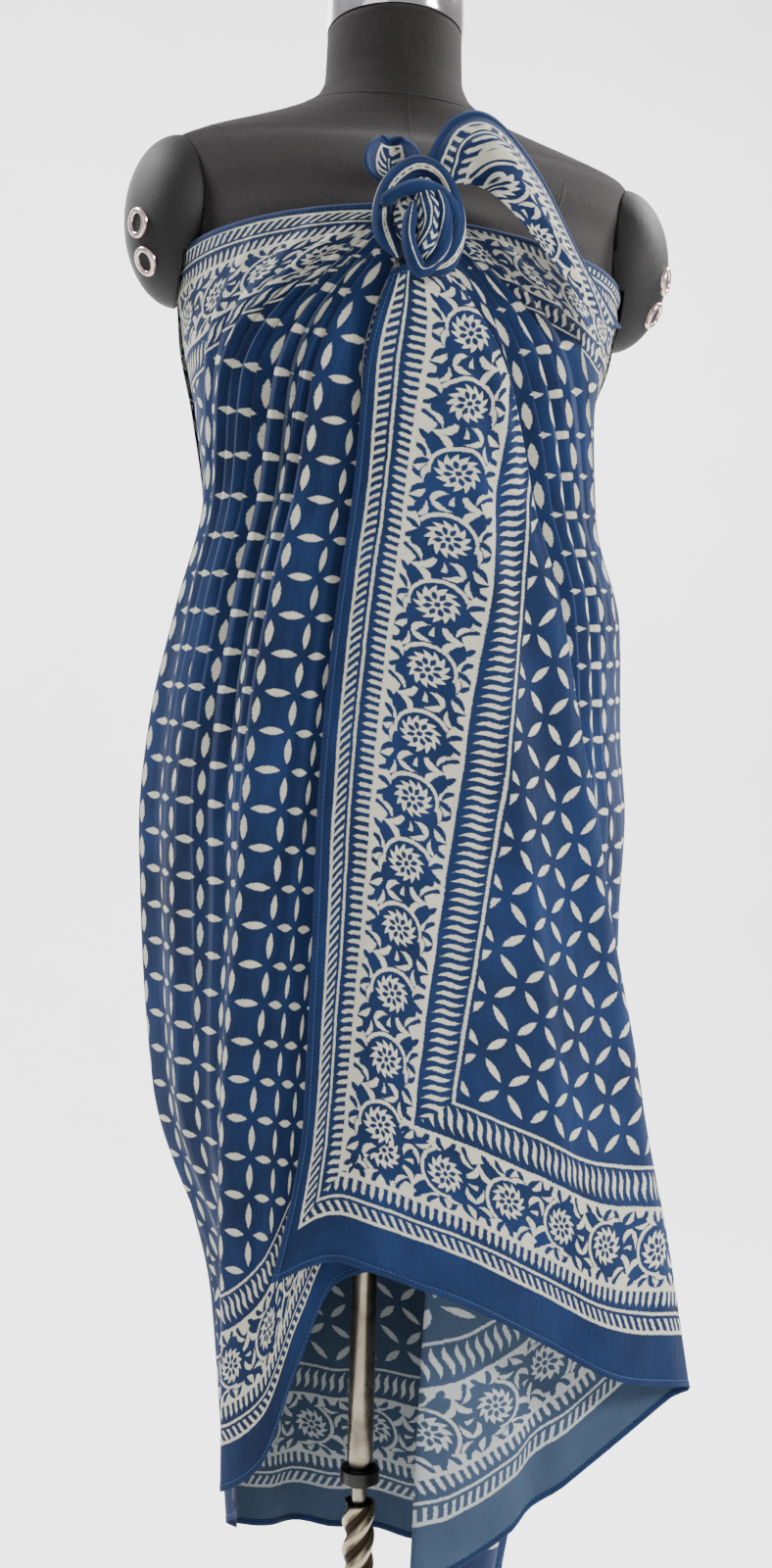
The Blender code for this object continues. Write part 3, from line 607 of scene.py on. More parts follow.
def across_lines(values, places):
    """Values at places between the hang lines, which don't pass beyond those of the two nearest."""
    last = values.shape[1] - 1
    steps = np.diff(values, axis=1)
    product = steps[:, :-1] * steps[:, 1:]
    total = steps[:, :-1] + steps[:, 1:]
    safe = np.where(np.abs(total) < 1e-12, 1.0, total)
    inner = np.where(product > 0, 2 * product / safe, 0.0)
    slopes = np.concatenate([steps[:, :1], inner, steps[:, -1:]], axis=1)
    i = np.clip(np.floor(places).astype(int), 0, last - 1)
    f = places - i
    near = (1 + 2 * f) * (1 - f) ** 2 * values[:, i] + f * f * (3 - 2 * f) * values[:, i + 1]
    return near + f * (1 - f) ** 2 * slopes[:, i] - f * f * (1 - f) * slopes[:, i + 1]


def bump(x):
    """A soft hump: 1 at 0, and 0 from 1 outwards."""
    return np.cos(np.clip(np.abs(x), 0, 1) * np.pi / 2) ** 2


def rise_and_fall(share, start, peak, end):
    side = np.where(share < peak, max(peak - start, 1e-6), end - peak)
    return bump((share - peak) / side)


def section_sizes(table, heights):
    """A table's half widths and depths at close heights: left, right, front and back."""
    return [
        np.array([smooth([(row[0], row[k]) for row in table], height) for height in heights])
        for k in range(1, 5)
    ]


def on_sections(heights, sizes, degrees, out, height):
    """Points at heights and angles on level sections, moved out by distances."""
    left, right, front, back = (np.interp(height, heights, size) for size in sizes)
    s, c = np.sin(np.radians(degrees)), np.cos(np.radians(degrees))
    wide = np.where(s >= 0, right, left)
    deep = np.where(c >= 0, front, back)
    return np.stack([(wide + out) * s, -(deep + out) * c, height], axis=-1)


WRAP_HEIGHTS = np.linspace(0.20, 1.40, 601)
WRAP_SIZES = section_sizes(WRAP, WRAP_HEIGHTS)
FORM_HEIGHTS = np.linspace(FORM[0][0], FORM[-1][0], 801)
FORM_SIZES = section_sizes(FORM, FORM_HEIGHTS)


def on_wrap(degrees, out, height):
    return on_sections(WRAP_HEIGHTS, WRAP_SIZES, degrees, out, height)


def on_form(degrees, out, height):
    return on_sections(FORM_HEIGHTS, FORM_SIZES, degrees, out, height)


def column_places():
    """The places of the mesh's columns: even between hang lines, with a close pair at each crease."""
    places = []
    for n, (line, after) in enumerate(zip(LINES, LINES[1:])):
        wide = max(after[3] - line[3], 0.6 * math.dist(line[1:3], after[1:3]))
        count = max(3, round(wide / COLUMN_WIDTH))
        places += [n + k / count for k in range(count)]
    places.append(len(LINES) - 1)
    creases = [row[0] for row in CREASES]
    places = [p for p in places if p == int(p) or min(abs(p - c) for c in creases) > 0.03]
    for c in creases:
        places += [c, c + CREASE_STEP / 2, c + CREASE_STEP]
    return np.array(sorted(places))


def lengths_along(points, axis):
    """Distances along the rows or columns of a grid of points."""
    steps = np.linalg.norm(np.diff(points, axis=axis), axis=2)
    start = np.zeros_like(np.take(steps, [0], axis=axis))
    return np.concatenate([start, np.cumsum(steps, axis=axis)], axis=axis)


class Cloth:
    """The sheet on its hang lines: points, and the place of each on the cut sheet."""

    def __init__(self):
        self.places = column_places()
        self.shares = np.linspace(0, 1, ROWS + 1)
        numbers = range(len(LINES))
        values = np.array([[line_values(n, share) for n in numbers] for share in self.shares])
        degrees, out, height = (across_lines(values[:, :, k], self.places) for k in range(3))
        p, q = np.meshgrid(self.places, self.shares)
        for middle, half, start, peak, end, tall in RIDGES:
            out = out + tall / 1000 * bump((p - middle) / half) * rise_and_fall(q, start, peak, end)
        plain = on_wrap(degrees, out, height)
        self.points_plain = plain
        self.along = lengths_along(plain, 1)
        self.line_columns = np.searchsorted(self.places, np.arange(len(LINES)))
        self.map_to_sheet(plain)
        out = out + self.small_folds(q)
        self.turn_under(degrees, out, height, q[:, 0])
        self.points = on_wrap(degrees, out, height)

    def turn_under(self, degrees, out, height, shares):
        """Takes each pleat's middle column back under its top layer, so the cloth doubles there."""
        for place, top, tall, wide, start, peak, end in CREASES:
            first = int(np.argmin(np.abs(self.places - place)))
            edge = first if top > 0 else first + 2
            fade = rise_and_fall(shares, start, peak, end)
            reach = PLEAT_DEPTH * wide / 1000 * fade
            for r, went in enumerate(reach):
                if went < 1e-5:
                    continue
                target = self.along[r, edge] - top * went
                near = np.delete(np.arange(len(self.places)), first + 1)
                for values in (degrees, out, height):
                    values[r, first + 1] = np.interp(target, self.along[r, near], values[r, near])
                out[r, first + 1] -= PLEAT_UNDER * fade[r]

    def small_folds(self, q):
        """How far pleats, soft folds and the rolled top edge lift the cloth, in metres."""
        lift = np.zeros_like(q)
        rows = np.arange(len(self.shares))
        for place, top, tall, wide, start, peak, end in CREASES:
            first = int(np.argmin(np.abs(self.places - place)))
            edge = first if top > 0 else first + 2
            x = (self.along - self.along[:, edge:edge + 1]) * 1000 * top
            over = np.where(x <= 1e-4, bump(x / wide), 0)
            under = np.where(x > 1e-4, np.clip(1 - x / (1.5 * wide), 0, 1) ** 2, 0)
            fade = rise_and_fall(q, start, peak, end)
            lift += FOLD_GAIN * tall / 1000 * fade * (over - 0.55 * under)
        for place_top, place_hem, half, start, peak, end, tall in SOFT_FOLDS:
            places = place_top + (place_hem - place_top) * self.shares
            middle = np.array([np.interp(places[r], self.places, self.along[r]) for r in rows])
            x = (self.along - middle[:, None]) * 1000 / half
            lift += FOLD_GAIN * tall / 1000 * bump(x) * rise_and_fall(q, start, peak, end)
        reach = np.interp(self.places, TOP_ROLL_PLACES, (0, 1, 1, 0), left=0, right=0)
        below = self.below_top * 1000
        for down, half, tall in TOP_ROLLS:
            lift += tall / 1000 * bump((below - down) / half) * reach
        return lift

    def map_to_sheet(self, plain):
        """For each face column, the place on the cut sheet of its left and right sides."""
        self.below_top = lengths_along(plain, 0)
        share = self.below_top / self.below_top[-1:]
        columns = self.line_columns
        top = np.array([line[1:3] for line in LINES])
        hem = np.array([(line[3], CLOTH_LONG) for line in LINES])
        on_line = top + (hem - top) * share[:, columns, None]
        creases = sorted(row[0] for row in CREASES)
        faces = len(self.places) - 1
        self.left = np.zeros((len(self.shares), faces, 2))
        self.right = np.zeros_like(self.left)
        for n, line in enumerate(LINES[:-1]):
            first, last = columns[n], columns[n + 1]
            across = on_line[:, n + 1] - on_line[:, n]
            size = np.linalg.norm(across, axis=1)
            unit = across / np.maximum(size, 1e-9)[:, None]
            shown = self.along[:, last] - self.along[:, first]
            here = [c for c in creases if n < c < n + 1]
            hidden = np.maximum(size - shown, 0) if here else np.zeros_like(size)
            stretch = (size - hidden) / np.maximum(shown, 1e-9)
            for k in range(first, last):
                for side, column in ((self.left, k), (self.right, k + 1)):
                    gone = [np.clip((self.places[column] - c) / CREASE_STEP, 0, 1) for c in here]
                    jump = hidden * sum(gone) / max(len(here), 1)
                    went = (self.along[:, column] - self.along[:, first]) * stretch + jump
                    side[:, k] = on_line[:, n] + unit * went[:, None]
        self.lattice_left, self.lattice_right = self.left.copy(), self.right.copy()
        for start, middle, end in PLEAT_FANS:
            self.lay_lattice(start, middle, end)

    def lay_lattice(self, start, middle, end):
        """Lays the field's lattice along the hang lines, with the rest of it hidden in the pleats."""
        full = int(round(PLEATS_OPEN * ROWS))
        centre = int(np.argmin(np.abs(self.places - middle)))
        beside = self.along - self.along[:, centre:centre + 1]
        edges = [int(np.argmin(np.abs(self.places - row[0]))) for row in CREASES
                 if start <= row[0] < end]
        top = next(row[1] for row in CREASES if start <= row[0] < end)
        spread = [self.points_plain[:, :, k] - PLEAT_CENTRE[k] for k in range(3)]
        from_knot = np.sqrt((PLEAT_SQUASH * spread[0]) ** 2 + (PLEAT_SQUASH * spread[1]) ** 2
                            + spread[2] ** 2)
        for k in range(len(self.places) - 1):
            if not start <= self.places[k] < end:
                continue
            if top > 0:
                anchors = [e for e in edges if e >= k + 1]
                anchor = min(anchors) if anchors else k + 1
            else:
                anchors = [e + 2 for e in edges if e + 2 <= k]
                anchor = max(anchors) if anchors else k
            for side, column in ((self.lattice_left, k), (self.lattice_right, k + 1)):
                pleated = beside[full, anchor] + self.along[:, column] - self.along[:, anchor]
                across = np.where(np.arange(ROWS + 1) < full, pleated, beside[:, column])
                below = from_knot[:, column]
                side[:, k, 0] = (below + across) * math.sqrt(0.5) + 1.0
                side[:, k, 1] = (below - across) * math.sqrt(0.5) + 2.0


def new_object(name, data):
    made = bpy.data.objects.new(name, data)
    bpy.context.scene.collection.objects.link(made)
    return made


def mesh_object(name, points, faces, materials, loop_places=None, lattice_places=None):
    mesh = bpy.data.meshes.new(name)
    mesh.from_pydata([tuple(p) for p in points], [], faces)
    if loop_places is not None:
        if lattice_places is None:
            lattice_places = loop_places
        for layer_name, values in (("cloth_metres", loop_places), ("lattice_metres", lattice_places)):
            layer = mesh.uv_layers.new(name=layer_name)
            layer.data.foreach_set("uv", np.asarray(values, dtype=np.float32).ravel())
    for finish in materials:
        mesh.materials.append(finish)
    mesh.shade_smooth()
    return new_object(name, mesh)


def grid_object(name, grid, left, right, materials, thick, lattice=None):
    """A thin shell on a grid of points, with places on the sheet for each face column's sides."""
    rows, columns = grid.shape[:2]
    faces = []
    places, lattice_places = [], []
    both = [(places, left, right)]
    if lattice is not None:
        both.append((lattice_places, *lattice))
    for r in range(rows - 1):
        for c in range(columns - 1):
            a = r * columns + c
            faces.append((a, a + columns, a + columns + 1, a + 1))
            for made, one, two in both:
                made += [one[r, c], one[r + 1, c], two[r + 1, c], two[r, c]]
    made = mesh_object(name, grid.reshape(-1, 3), faces, materials, places, lattice_places or None)
    shell = made.modifiers.new("thickness", "SOLIDIFY")
    shell.thickness = thick
    shell.offset = -1
    shell.material_offset = 1
    shell.material_offset_rim = 0
    return made


class Value:
    """A number that a material's nodes work out, so that sums read as sums."""

    def __init__(self, tree, socket):
        self.tree = tree
        self.socket = socket

    def node(self, operation, *others, clamp=False):
        made = self.tree.nodes.new("ShaderNodeMath")
        made.operation = operation
        made.use_clamp = clamp
        for slot, item in enumerate((self,) + others):
            if isinstance(item, Value):
                self.tree.links.new(item.socket, made.inputs[slot])
            else:
                made.inputs[slot].default_value = item
        return Value(self.tree, made.outputs[0])

    def __add__(self, other):
        return self.node("ADD", other)

    def __sub__(self, other):
        return self.node("SUBTRACT", other)

    def __mul__(self, other):
        return self.node("MULTIPLY", other)

    def __truediv__(self, other):
        return self.node("DIVIDE", other)

    __radd__ = __add__
    __rmul__ = __mul__

    def __rsub__(self, other):
        return (self * -1.0) + other

    def __neg__(self):
        return self * -1.0

    def __abs__(self):
        return self.node("ABSOLUTE")

    def least(self, other):
        return self.node("MINIMUM", other)

    def most(self, other):
        return self.node("MAXIMUM", other)

    def repeat(self, pitch):
        """How far it is past the middle of the step of that pitch that it lies in."""
        return self.node("FLOORED_MODULO", pitch) - pitch / 2

    def below(self, other):
        return self.node("LESS_THAN", other)

    def sine(self):
        return self.node("SINE")

    def cosine(self):
        return self.node("COSINE")

    def squared(self):
        return self * self

    def root(self):
        return self.node("SQRT")

    def floor(self):
        return self.node("FLOOR")

    def clamped(self):
        return self.node("ADD", 0.0, clamp=True)

    def choose(self, yes, no):
        """yes where this is 1, and no where it is 0."""
        return no + (yes - no) * self


def noise_value(tree, vector, scale, detail=2.0, rough=0.5):
    made = tree.nodes.new("ShaderNodeTexNoise")
    made.inputs["Scale"].default_value = scale
    made.inputs["Detail"].default_value = detail
    made.inputs["Roughness"].default_value = rough
    tree.links.new(vector, made.inputs["Vector"])
    return Value(tree, made.outputs["Fac"])


def stretched(tree, vector, x, y, z=1.0):
    made = tree.nodes.new("ShaderNodeVectorMath")
    made.operation = "MULTIPLY"
    made.inputs[1].default_value = (x, y, z)
    tree.links.new(vector, made.inputs[0])
    return made.outputs[0]


# The narrow bands of the border, in mm in from the edge of the print
LINES_OF_PRINT = (
    # middle, half width
    (1.2, 1.2),
    (13.6, 0.95),
    (108.3, 1.05),
)
RUNGS = {"middle": 6.0, "half": 4.3, "pitch": 6.5, "slant": 0.65, "half_rung": 1.05}
TEETH = {"middle": 23.2, "half": 5.3, "pitch": 6.3, "root": 18.0, "half_tooth": 2.4, "taper": 0.6}
STROKES = {"middle": 96.0, "half": 9.0, "pitch": 6.9, "bow": 0.9, "slant": 3.0, "half_stroke": 1.75,
           "point": 1.60}
FIELD_EDGE = 112.0

# How the block's edges wander and how ragged they print, in mm, and how wide an edge's blur is
WANDER = 2.6
RAGGED = 2.3
EDGE_BLUR = 0.7

# The flower border's leaves in one repeat of it, which every second repeat mirrors
BLUE_LEAVES = (
    # along mm, across mm, turn degrees, half length mm, half width mm, bend
    (-19.5, -20.0, 58, 8.6, 2.3, 0.055),
    (-11.0, -21.5, 48, 7.2, 1.9, -0.060),
    (-2.5, -20.0, 112, 8.2, 2.2, -0.055),
    (7.5, -21.0, 66, 7.4, 2.0, 0.060),
    (16.0, -19.0, 122, 8.6, 2.3, -0.050),
    (-22.5, 19.0, 124, 8.4, 2.3, -0.055),
    (-14.5, 21.5, 62, 7.2, 2.0, 0.060),
    (-5.5, 20.5, 116, 7.8, 2.1, -0.055),
    (4.0, 21.5, 58, 7.2, 1.9, 0.060),
    (12.5, 19.5, 118, 8.6, 2.3, -0.055),
)
WHITE_LEAVES = (
    # along mm, across mm, turn degrees, half length mm, half width mm, bend
    (21.0, 9.0, 52, 9.6, 2.3, 0.050),
    (-19.5, -9.0, 34, 9.0, 2.2, -0.055),
    (19.0, -9.5, -40, 8.4, 2.0, 0.060),
    (-22.0, 8.5, -52, 8.0, 1.9, -0.055),
    (24.0, -0.5, 14, 6.4, 1.5, 0.055),
    (-15.5, 14.5, 24, 6.6, 1.5, 0.060),
    (3.5, -17.5, -24, 8.0, 1.7, 0.055),
    (13.0, 15.5, 134, 6.8, 1.6, -0.055),
)
BORDER_MIDDLE = 55.0
BORDER_HALF = 27.5
BORDER_LINES = (
    # middle, half width
    (28.9, 1.5),
    (81.2, 1.2),
)
REPEAT = 48.0

# Each flower of the border, in mm: the blue round it, the stem that curls past it, its jagged disc
# and the petals and eye inside that
FLOWER_GROUND = 16.6
STEM_RADIUS = 16.9
STEM_HALF = 0.95
DISC_RADIUS = 13.2
DISC_TEETH = 13
DISC_TOOTH = 4.0
EYE_RADIUS = 1.9
EYE_PETALS = {"middle": 5.9, "half_long": 3.0, "half_wide": 1.75}

# The step of the field's lattice along its petals, and the petals' half width and length, in mm
LATTICE = 27.2
PETAL_HALF_WIDE = 2.65
PETAL_HALF_LONG = 9.0


def leaf(x, y, row):
    """Less than 0 inside a bent, pointed leaf."""
    along, across, turn, half_long, half_wide, bend = row
    s, c = math.sin(math.radians(turn)), math.cos(math.radians(turn))
    dx, dy = x - along, y - across
    u = dx * c + dy * s
    w = dy * c - dx * s - u.squared() * bend
    return abs(w) - (half_wide - u.squared() * (half_wide / half_long ** 2))


def flower_border(along, deep):
    """Less than 0 where the wide flower border is white."""
    odd = (along / REPEAT).floor().node("FLOORED_MODULO", 2.0)
    x = along.repeat(REPEAT)
    y = (deep - BORDER_MIDDLE) * (1.0 - odd * 2.0)
    r = (x.squared() + y.squared()).root()
    turn = y.node("ARCTAN2", x)

    white = 18.2 + (x * (4 * math.pi / REPEAT)).sine() * 2.4 - abs(y)
    for row in BLUE_LEAVES:
        white = white.most(-leaf(x, y, row))
    for row in WHITE_LEAVES:
        white = white.least(leaf(x, y, row))
    white = white.most(FLOWER_GROUND - r)

    stem = abs(r - STEM_RADIUS - y * 0.06) - STEM_HALF + x * 0.02
    stem = stem.most(x * 0.9 + y * 0.35 + 1.5)
    jagged = abs((turn + r * 0.06).repeat(2 * math.pi / DISC_TEETH) * (DISC_TEETH / math.pi))
    disc = r - DISC_RADIUS + jagged * DISC_TOOTH
    petal_turn = turn.repeat(math.pi / 4)
    px, py = r * petal_turn.cosine(), r * petal_turn.sine()
    wide = EYE_PETALS["half_wide"]
    narrowing = wide / EYE_PETALS["half_long"] ** 2
    petal = abs(py) - (wide - (px - EYE_PETALS["middle"]).squared() * narrowing)
    disc = disc.most(-(petal.least(r - EYE_RADIUS)))
    white = white.least(stem).least(disc)
    for middle, half in BORDER_LINES:
        white = white.least(abs(deep - middle) - half)
    return white.most(abs(deep - BORDER_MIDDLE) - BORDER_HALF)


def field_petals(across, down):
    """Less than 0 inside the petals of the field's lattice, which lies at 45 degrees."""
    p = (across + down) * math.sqrt(0.5)
    q = (across - down) * math.sqrt(0.5)
    found = None
    for a, b in ((p, q), (q, p)):
        x = a.repeat(LATTICE)
        y = (b + LATTICE / 2).repeat(LATTICE)
        narrowing = PETAL_HALF_WIDE / PETAL_HALF_LONG ** 2
        petal = abs(y) - (PETAL_HALF_WIDE - x.squared() * narrowing)
        found = petal if found is None else found.least(petal)
    return found


def white_of_print(tree, uv):
    """How white the print is, from 0 to 1, at a place on the cut sheet."""
    apart = tree.nodes.new("ShaderNodeSeparateXYZ")
    tree.links.new(uv, apart.inputs[0])
    wander = (noise_value(tree, uv, 22.0) - 0.5) * WANDER
    wander_too = (noise_value(tree, uv, 31.0) - 0.5) * WANDER
    across = Value(tree, apart.outputs[0]) * 1000.0 + wander
    down = Value(tree, apart.outputs[1]) * 1000.0 + wander_too
    from_side = (across - PRINT_EDGE_SIDE).least(CLOTH_WIDE * 1000 - PRINT_EDGE_SIDE - across)
    from_hem = (down - PRINT_EDGE_TOP).least(CLOTH_LONG * 1000 - PRINT_EDGE_HEM - down)
    is_side = from_side.below(from_hem)
    along = is_side.choose(down, across)
    deep = from_side.least(from_hem)

    band = RUNGS
    rung = abs((along + deep * band["slant"]).repeat(band["pitch"])) * 0.84 - band["half_rung"]
    white = rung.most(abs(deep - band["middle"]) - band["half"])
    for middle, half in LINES_OF_PRINT:
        white = white.least(abs(deep - middle) - half)
    band = TEETH
    tooth = (deep - band["root"]).least(band["half_tooth"]).most(0.0) * band["taper"]
    tooth = abs(along.repeat(band["pitch"])) - tooth
    white = white.least(tooth.most(abs(deep - band["middle"]) - band["half"]))
    white = white.least(flower_border(along, deep))
    band = STROKES
    bow = (deep - band["middle"]) / band["half"]
    stroke = along - (bow * math.pi).sine() * band["bow"] + bow * band["slant"]
    stroke = abs(stroke.repeat(band["pitch"]))
    white = white.least(stroke - (band["half_stroke"] - bow.squared() * band["point"]))
    laid = tree.nodes.new("ShaderNodeSeparateXYZ")
    tree.links.new(sheet_place(tree, "lattice_metres"), laid.inputs[0])
    across_field = Value(tree, laid.outputs[0]) * 1000.0 + wander
    down_field = Value(tree, laid.outputs[1]) * 1000.0 + wander_too
    white = white.least(field_petals(across_field, down_field).most(FIELD_EDGE - deep))

    ragged = (noise_value(tree, uv, 480.0, 3.0, 0.65) - 0.5) * RAGGED
    mask = (0.5 - (white + ragged) / EDGE_BLUR).clamped()
    holes = ((noise_value(tree, uv, 330.0, 2.0, 0.7) - 0.63) * 14.0).clamped()
    worn = ((noise_value(tree, uv, 14.0, 2.0) - 0.35) * 3.0).clamped()
    return mask * (1.0 - holes * worn * 0.8)


def mixed(tree, factor, first, second):
    """A colour between two, where each is a colour or a socket."""
    made = tree.nodes.new("ShaderNodeMix")
    made.data_type = "RGBA"
    slots = [s for s in made.inputs if s.type == "RGBA"]
    for slot, item in zip(slots, (first, second)):
        if isinstance(item, tuple):
            slot.default_value = (*item, 1.0)
        else:
            tree.links.new(item, slot)
    tree.links.new(factor.socket, made.inputs["Factor"])
    return next(s for s in made.outputs if s.type == "RGBA")


def new_material(name, roughness, metallic=0.0, sheen=0.0):
    made = bpy.data.materials.new(name)
    made.use_nodes = True
    tree = made.node_tree
    shader = tree.nodes["Principled BSDF"]
    shader.inputs["Roughness"].default_value = roughness
    shader.inputs["Metallic"].default_value = metallic
    shader.inputs["Sheen Weight"].default_value = sheen
    return made, tree, shader


def paint(tree, shader, factor, first, second):
    """Gives a finish a colour between two."""
    tree.links.new(mixed(tree, factor, first, second), shader.inputs["Base Color"])


def add_bump(tree, shader, height, distance, strength=1.0):
    made = tree.nodes.new("ShaderNodeBump")
    made.inputs["Distance"].default_value = distance
    made.inputs["Strength"].default_value = strength
    tree.links.new(height.socket, made.inputs["Height"])
    tree.links.new(made.outputs[0], shader.inputs["Normal"])


def sheet_place(tree, layer="cloth_metres"):
    made = tree.nodes.new("ShaderNodeUVMap")
    made.uv_map = layer
    return made.outputs[0]


def object_place(tree):
    return tree.nodes.new("ShaderNodeTexCoord").outputs["Object"]


def cotton(name, blue, blue_deep, white, strength):
    """Block-printed cotton: indigo and off-white, with slubs, mottling and a plain weave."""
    made, tree, shader = new_material(name, 0.92, sheen=0.03)
    shader.inputs["Specular IOR Level"].default_value = 0.2
    uv = sheet_place(tree)
    mottle = ((noise_value(tree, uv, 11.0, 5.0, 0.62) - 0.36) * 2.8).clamped()
    slub_down = noise_value(tree, stretched(tree, uv, 1500.0, 40.0), 1.0, 2.0)
    slub_across = noise_value(tree, stretched(tree, uv, 40.0, 1500.0), 1.0, 2.0)
    threads = slub_down * 0.5 + slub_across * 0.5
    shade = (mottle * 0.75 + threads * 0.9 - 0.25).clamped()
    ground = mixed(tree, shade, blue_deep, blue)
    pale = tuple(0.80 * c for c in white)
    light = mixed(tree, (threads * 1.6 - 0.3).clamped(), pale, white)
    mask = white_of_print(tree, uv) * strength
    paint(tree, shader, mask, ground, light)
    creased = noise_value(tree, stretched(tree, uv, 55.0, 18.0), 1.0, 5.0, 0.6) * 1.3
    add_bump(tree, shader, creased + threads * 0.22, 0.0016, 0.9)
    return made


def plain_finish(name, dark, light, roughness, metallic, scale, deep):
    """A hard material whose colour, gloss and surface vary a little with noise."""
    made, tree, shader = new_material(name, roughness, metallic)
    places = object_place(tree)
    patches = ((noise_value(tree, places, scale, 4.0) - 0.35) * 3.0).clamped()
    paint(tree, shader, patches, dark, light)
    gloss = noise_value(tree, places, scale * 3.0, 3.0) * 0.16 + (roughness - 0.08)
    tree.links.new(gloss.socket, shader.inputs["Roughness"])
    add_bump(tree, shader, noise_value(tree, places, scale * 8.0, 3.0), deep, 0.5)
    return made


def knit_finish(name):
    """The form's charcoal knit: fine ribs, a pale fleck and a little lint."""
    made, tree, shader = new_material(name, 0.95, sheen=0.04)
    shader.inputs["Specular IOR Level"].default_value = 0.25
    places = object_place(tree)
    fleck = ((noise_value(tree, places, 1500.0, 2.0, 0.7) - 0.50) * 4.5).clamped()
    broad = noise_value(tree, places, 7.0, 3.0)
    base = mixed(tree, broad, (0.0045, 0.0034, 0.0035), (0.0095, 0.0070, 0.0072))
    paint(tree, shader, fleck * 0.6, base, (0.055, 0.044, 0.045))
    rib = noise_value(tree, stretched(tree, places, 1.0, 1.0, 0.35), 1400.0, 2.0)
    add_bump(tree, shader, rib, 0.0006, 0.7)
    return made


def vinyl_finish(name):
    made, tree, shader = new_material(name, 0.66)
    shader.inputs["Specular IOR Level"].default_value = 0.32
    places = object_place(tree)
    grain = noise_value(tree, places, 900.0, 3.0)
    smear = noise_value(tree, places, 18.0, 4.0)
    paint(tree, shader, smear, (0.0035, 0.0030, 0.0032), (0.0095, 0.0080, 0.0082))
    tree.links.new((smear * 0.22 + 0.56).socket, shader.inputs["Roughness"])
    add_bump(tree, shader, grain, 0.0006, 0.7)
    return made


def column_finish(name):
    """Plated metal, dark and dull in the grooves of the twist."""
    made, tree, shader = new_material(name, 0.30, 1.0)
    places = object_place(tree)
    apart = tree.nodes.new("ShaderNodeSeparateXYZ")
    tree.links.new(places, apart.inputs[0])
    x, y = Value(tree, apart.outputs[0]), Value(tree, apart.outputs[1])
    out = (x.squared() + y.squared()).root()
    deep = ((COLUMN_RADIUS + 0.0003 - out) * 900.0).clamped()
    spots = noise_value(tree, places, 90.0, 4.0)
    bright = mixed(tree, spots, (0.22, 0.17, 0.11), (0.42, 0.35, 0.25))
    paint(tree, shader, deep, bright, (0.03, 0.022, 0.014))
    tree.links.new((spots * 0.25 + 0.16 + deep * 0.35).socket, shader.inputs["Roughness"])
    add_bump(tree, shader, noise_value(tree, places, 400.0, 3.0), 0.0004, 0.4)
    return made


def seen(right, up, front):
    return Vector((right, -front, up))


def through(points, place):
    """A point of the smooth curve through points, which place counts."""
    last = len(points) - 1
    i = min(max(int(math.floor(place)), 0), last - 1)
    f = place - i
    b, c = points[i], points[i + 1]
    a = points[i - 1] if i > 0 else 2 * b - c
    d = points[i + 2] if i + 2 <= last else 2 * c - b
    return (
        b
        + 0.5 * f * (c - a)
        + f * f * (a - 2.5 * b + 2 * c - 0.5 * d)
        + f * f * f * (1.5 * (b - c) + 0.5 * (d - a))
    )


def finish_piece(made, body, nodes=()):
    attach(made, body)
    if nodes:
        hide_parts(*nodes)
    return made


def unit_rows(vectors):
    return vectors / np.maximum(np.linalg.norm(vectors, axis=-1), 1e-12)[..., None]


def surface_normals(grid):
    down = np.gradient(grid, axis=0)
    across = np.gradient(grid, axis=1)
    return unit_rows(np.cross(down, across))


def inset_line(grid, distance):
    """The line on a grid that runs a distance in from its first row, and the normals there."""
    along = lengths_along(grid, 0)
    normals = surface_normals(grid)
    line, facing = [], []
    for c in range(grid.shape[1]):
        for source, made in ((grid, line), (normals, facing)):
            made.append([np.interp(distance, along[:, c], source[:, c, k]) for k in range(3)])
    return np.array(line), unit_rows(np.array(facing))


def hem_parts(grid, wide):
    """A turned hem along a grid's first row: its points and faces, one tube of four sides."""
    edge, edge_facing = inset_line(grid, 0.0)
    inner, inner_facing = inset_line(grid, wide)
    over = (HEM_THICK - CLOTH_THICK) / 2
    under = CLOTH_THICK + over
    ring = [
        inner + inner_facing * over, edge + edge_facing * over,
        edge - edge_facing * under, inner - inner_facing * under,
    ]
    count = len(edge)
    points = np.concatenate(ring)
    faces = []
    for k in range(count - 1):
        for a in range(4):
            b = (a + 1) % 4
            faces.append((a * count + k, b * count + k, b * count + k + 1, a * count + k + 1))
    faces.append(tuple(a * count for a in range(4)))
    faces.append(tuple(a * count + count - 1 for a in reversed(range(4))))
    return points, faces


def stitch_parts(grid, wide):
    """Short stitches just inside the hem's inner edge, on both sides of the cloth."""
    line, facing = inset_line(grid, wide - STITCH_INSET)
    steps = np.linalg.norm(np.diff(line, axis=0), axis=1)
    along = np.concatenate([[0], np.cumsum(steps)])
    points, faces = [], []
    over = (HEM_THICK - CLOTH_THICK) / 2
    for side, lift in ((1, over), (-1, CLOTH_THICK + over)):
        for k in range(int(along[-1] / STITCH_PITCH)):
            begin = k * STITCH_PITCH + STITCH_START
            ends = (begin, begin + STITCH_LONG)
            a, b = (np.array([np.interp(e, along, line[:, j]) for j in range(3)]) for e in ends)
            n = np.array([np.interp(ends[0], along, facing[:, j]) for j in range(3)]) * side
            ahead = (b - a) / max(np.linalg.norm(b - a), 1e-9)
            beside = np.cross(n, ahead) * STITCH_WIDE / 2
            base = len(points)
            for end in (a, b):
                points += [end + n * lift + beside, end + n * (lift + STITCH_HIGH),
                           end + n * lift - beside]
            faces += [(base, base + 1, base + 4, base + 3), (base + 1, base + 2, base + 5, base + 4)]
    return points, faces


def joined(parts):
    points, faces = [], []
    for more_points, more_faces in parts:
        base = len(points)
        points += [tuple(p) for p in more_points]
        faces += [tuple(i + base for i in face) for face in more_faces]
    return points, faces


def four_edges(grid):
    """The grid turned so that each of its four edges comes first."""
    return (
        grid,
        grid[::-1],
        grid.transpose(1, 0, 2),
        grid.transpose(1, 0, 2)[::-1],
    )


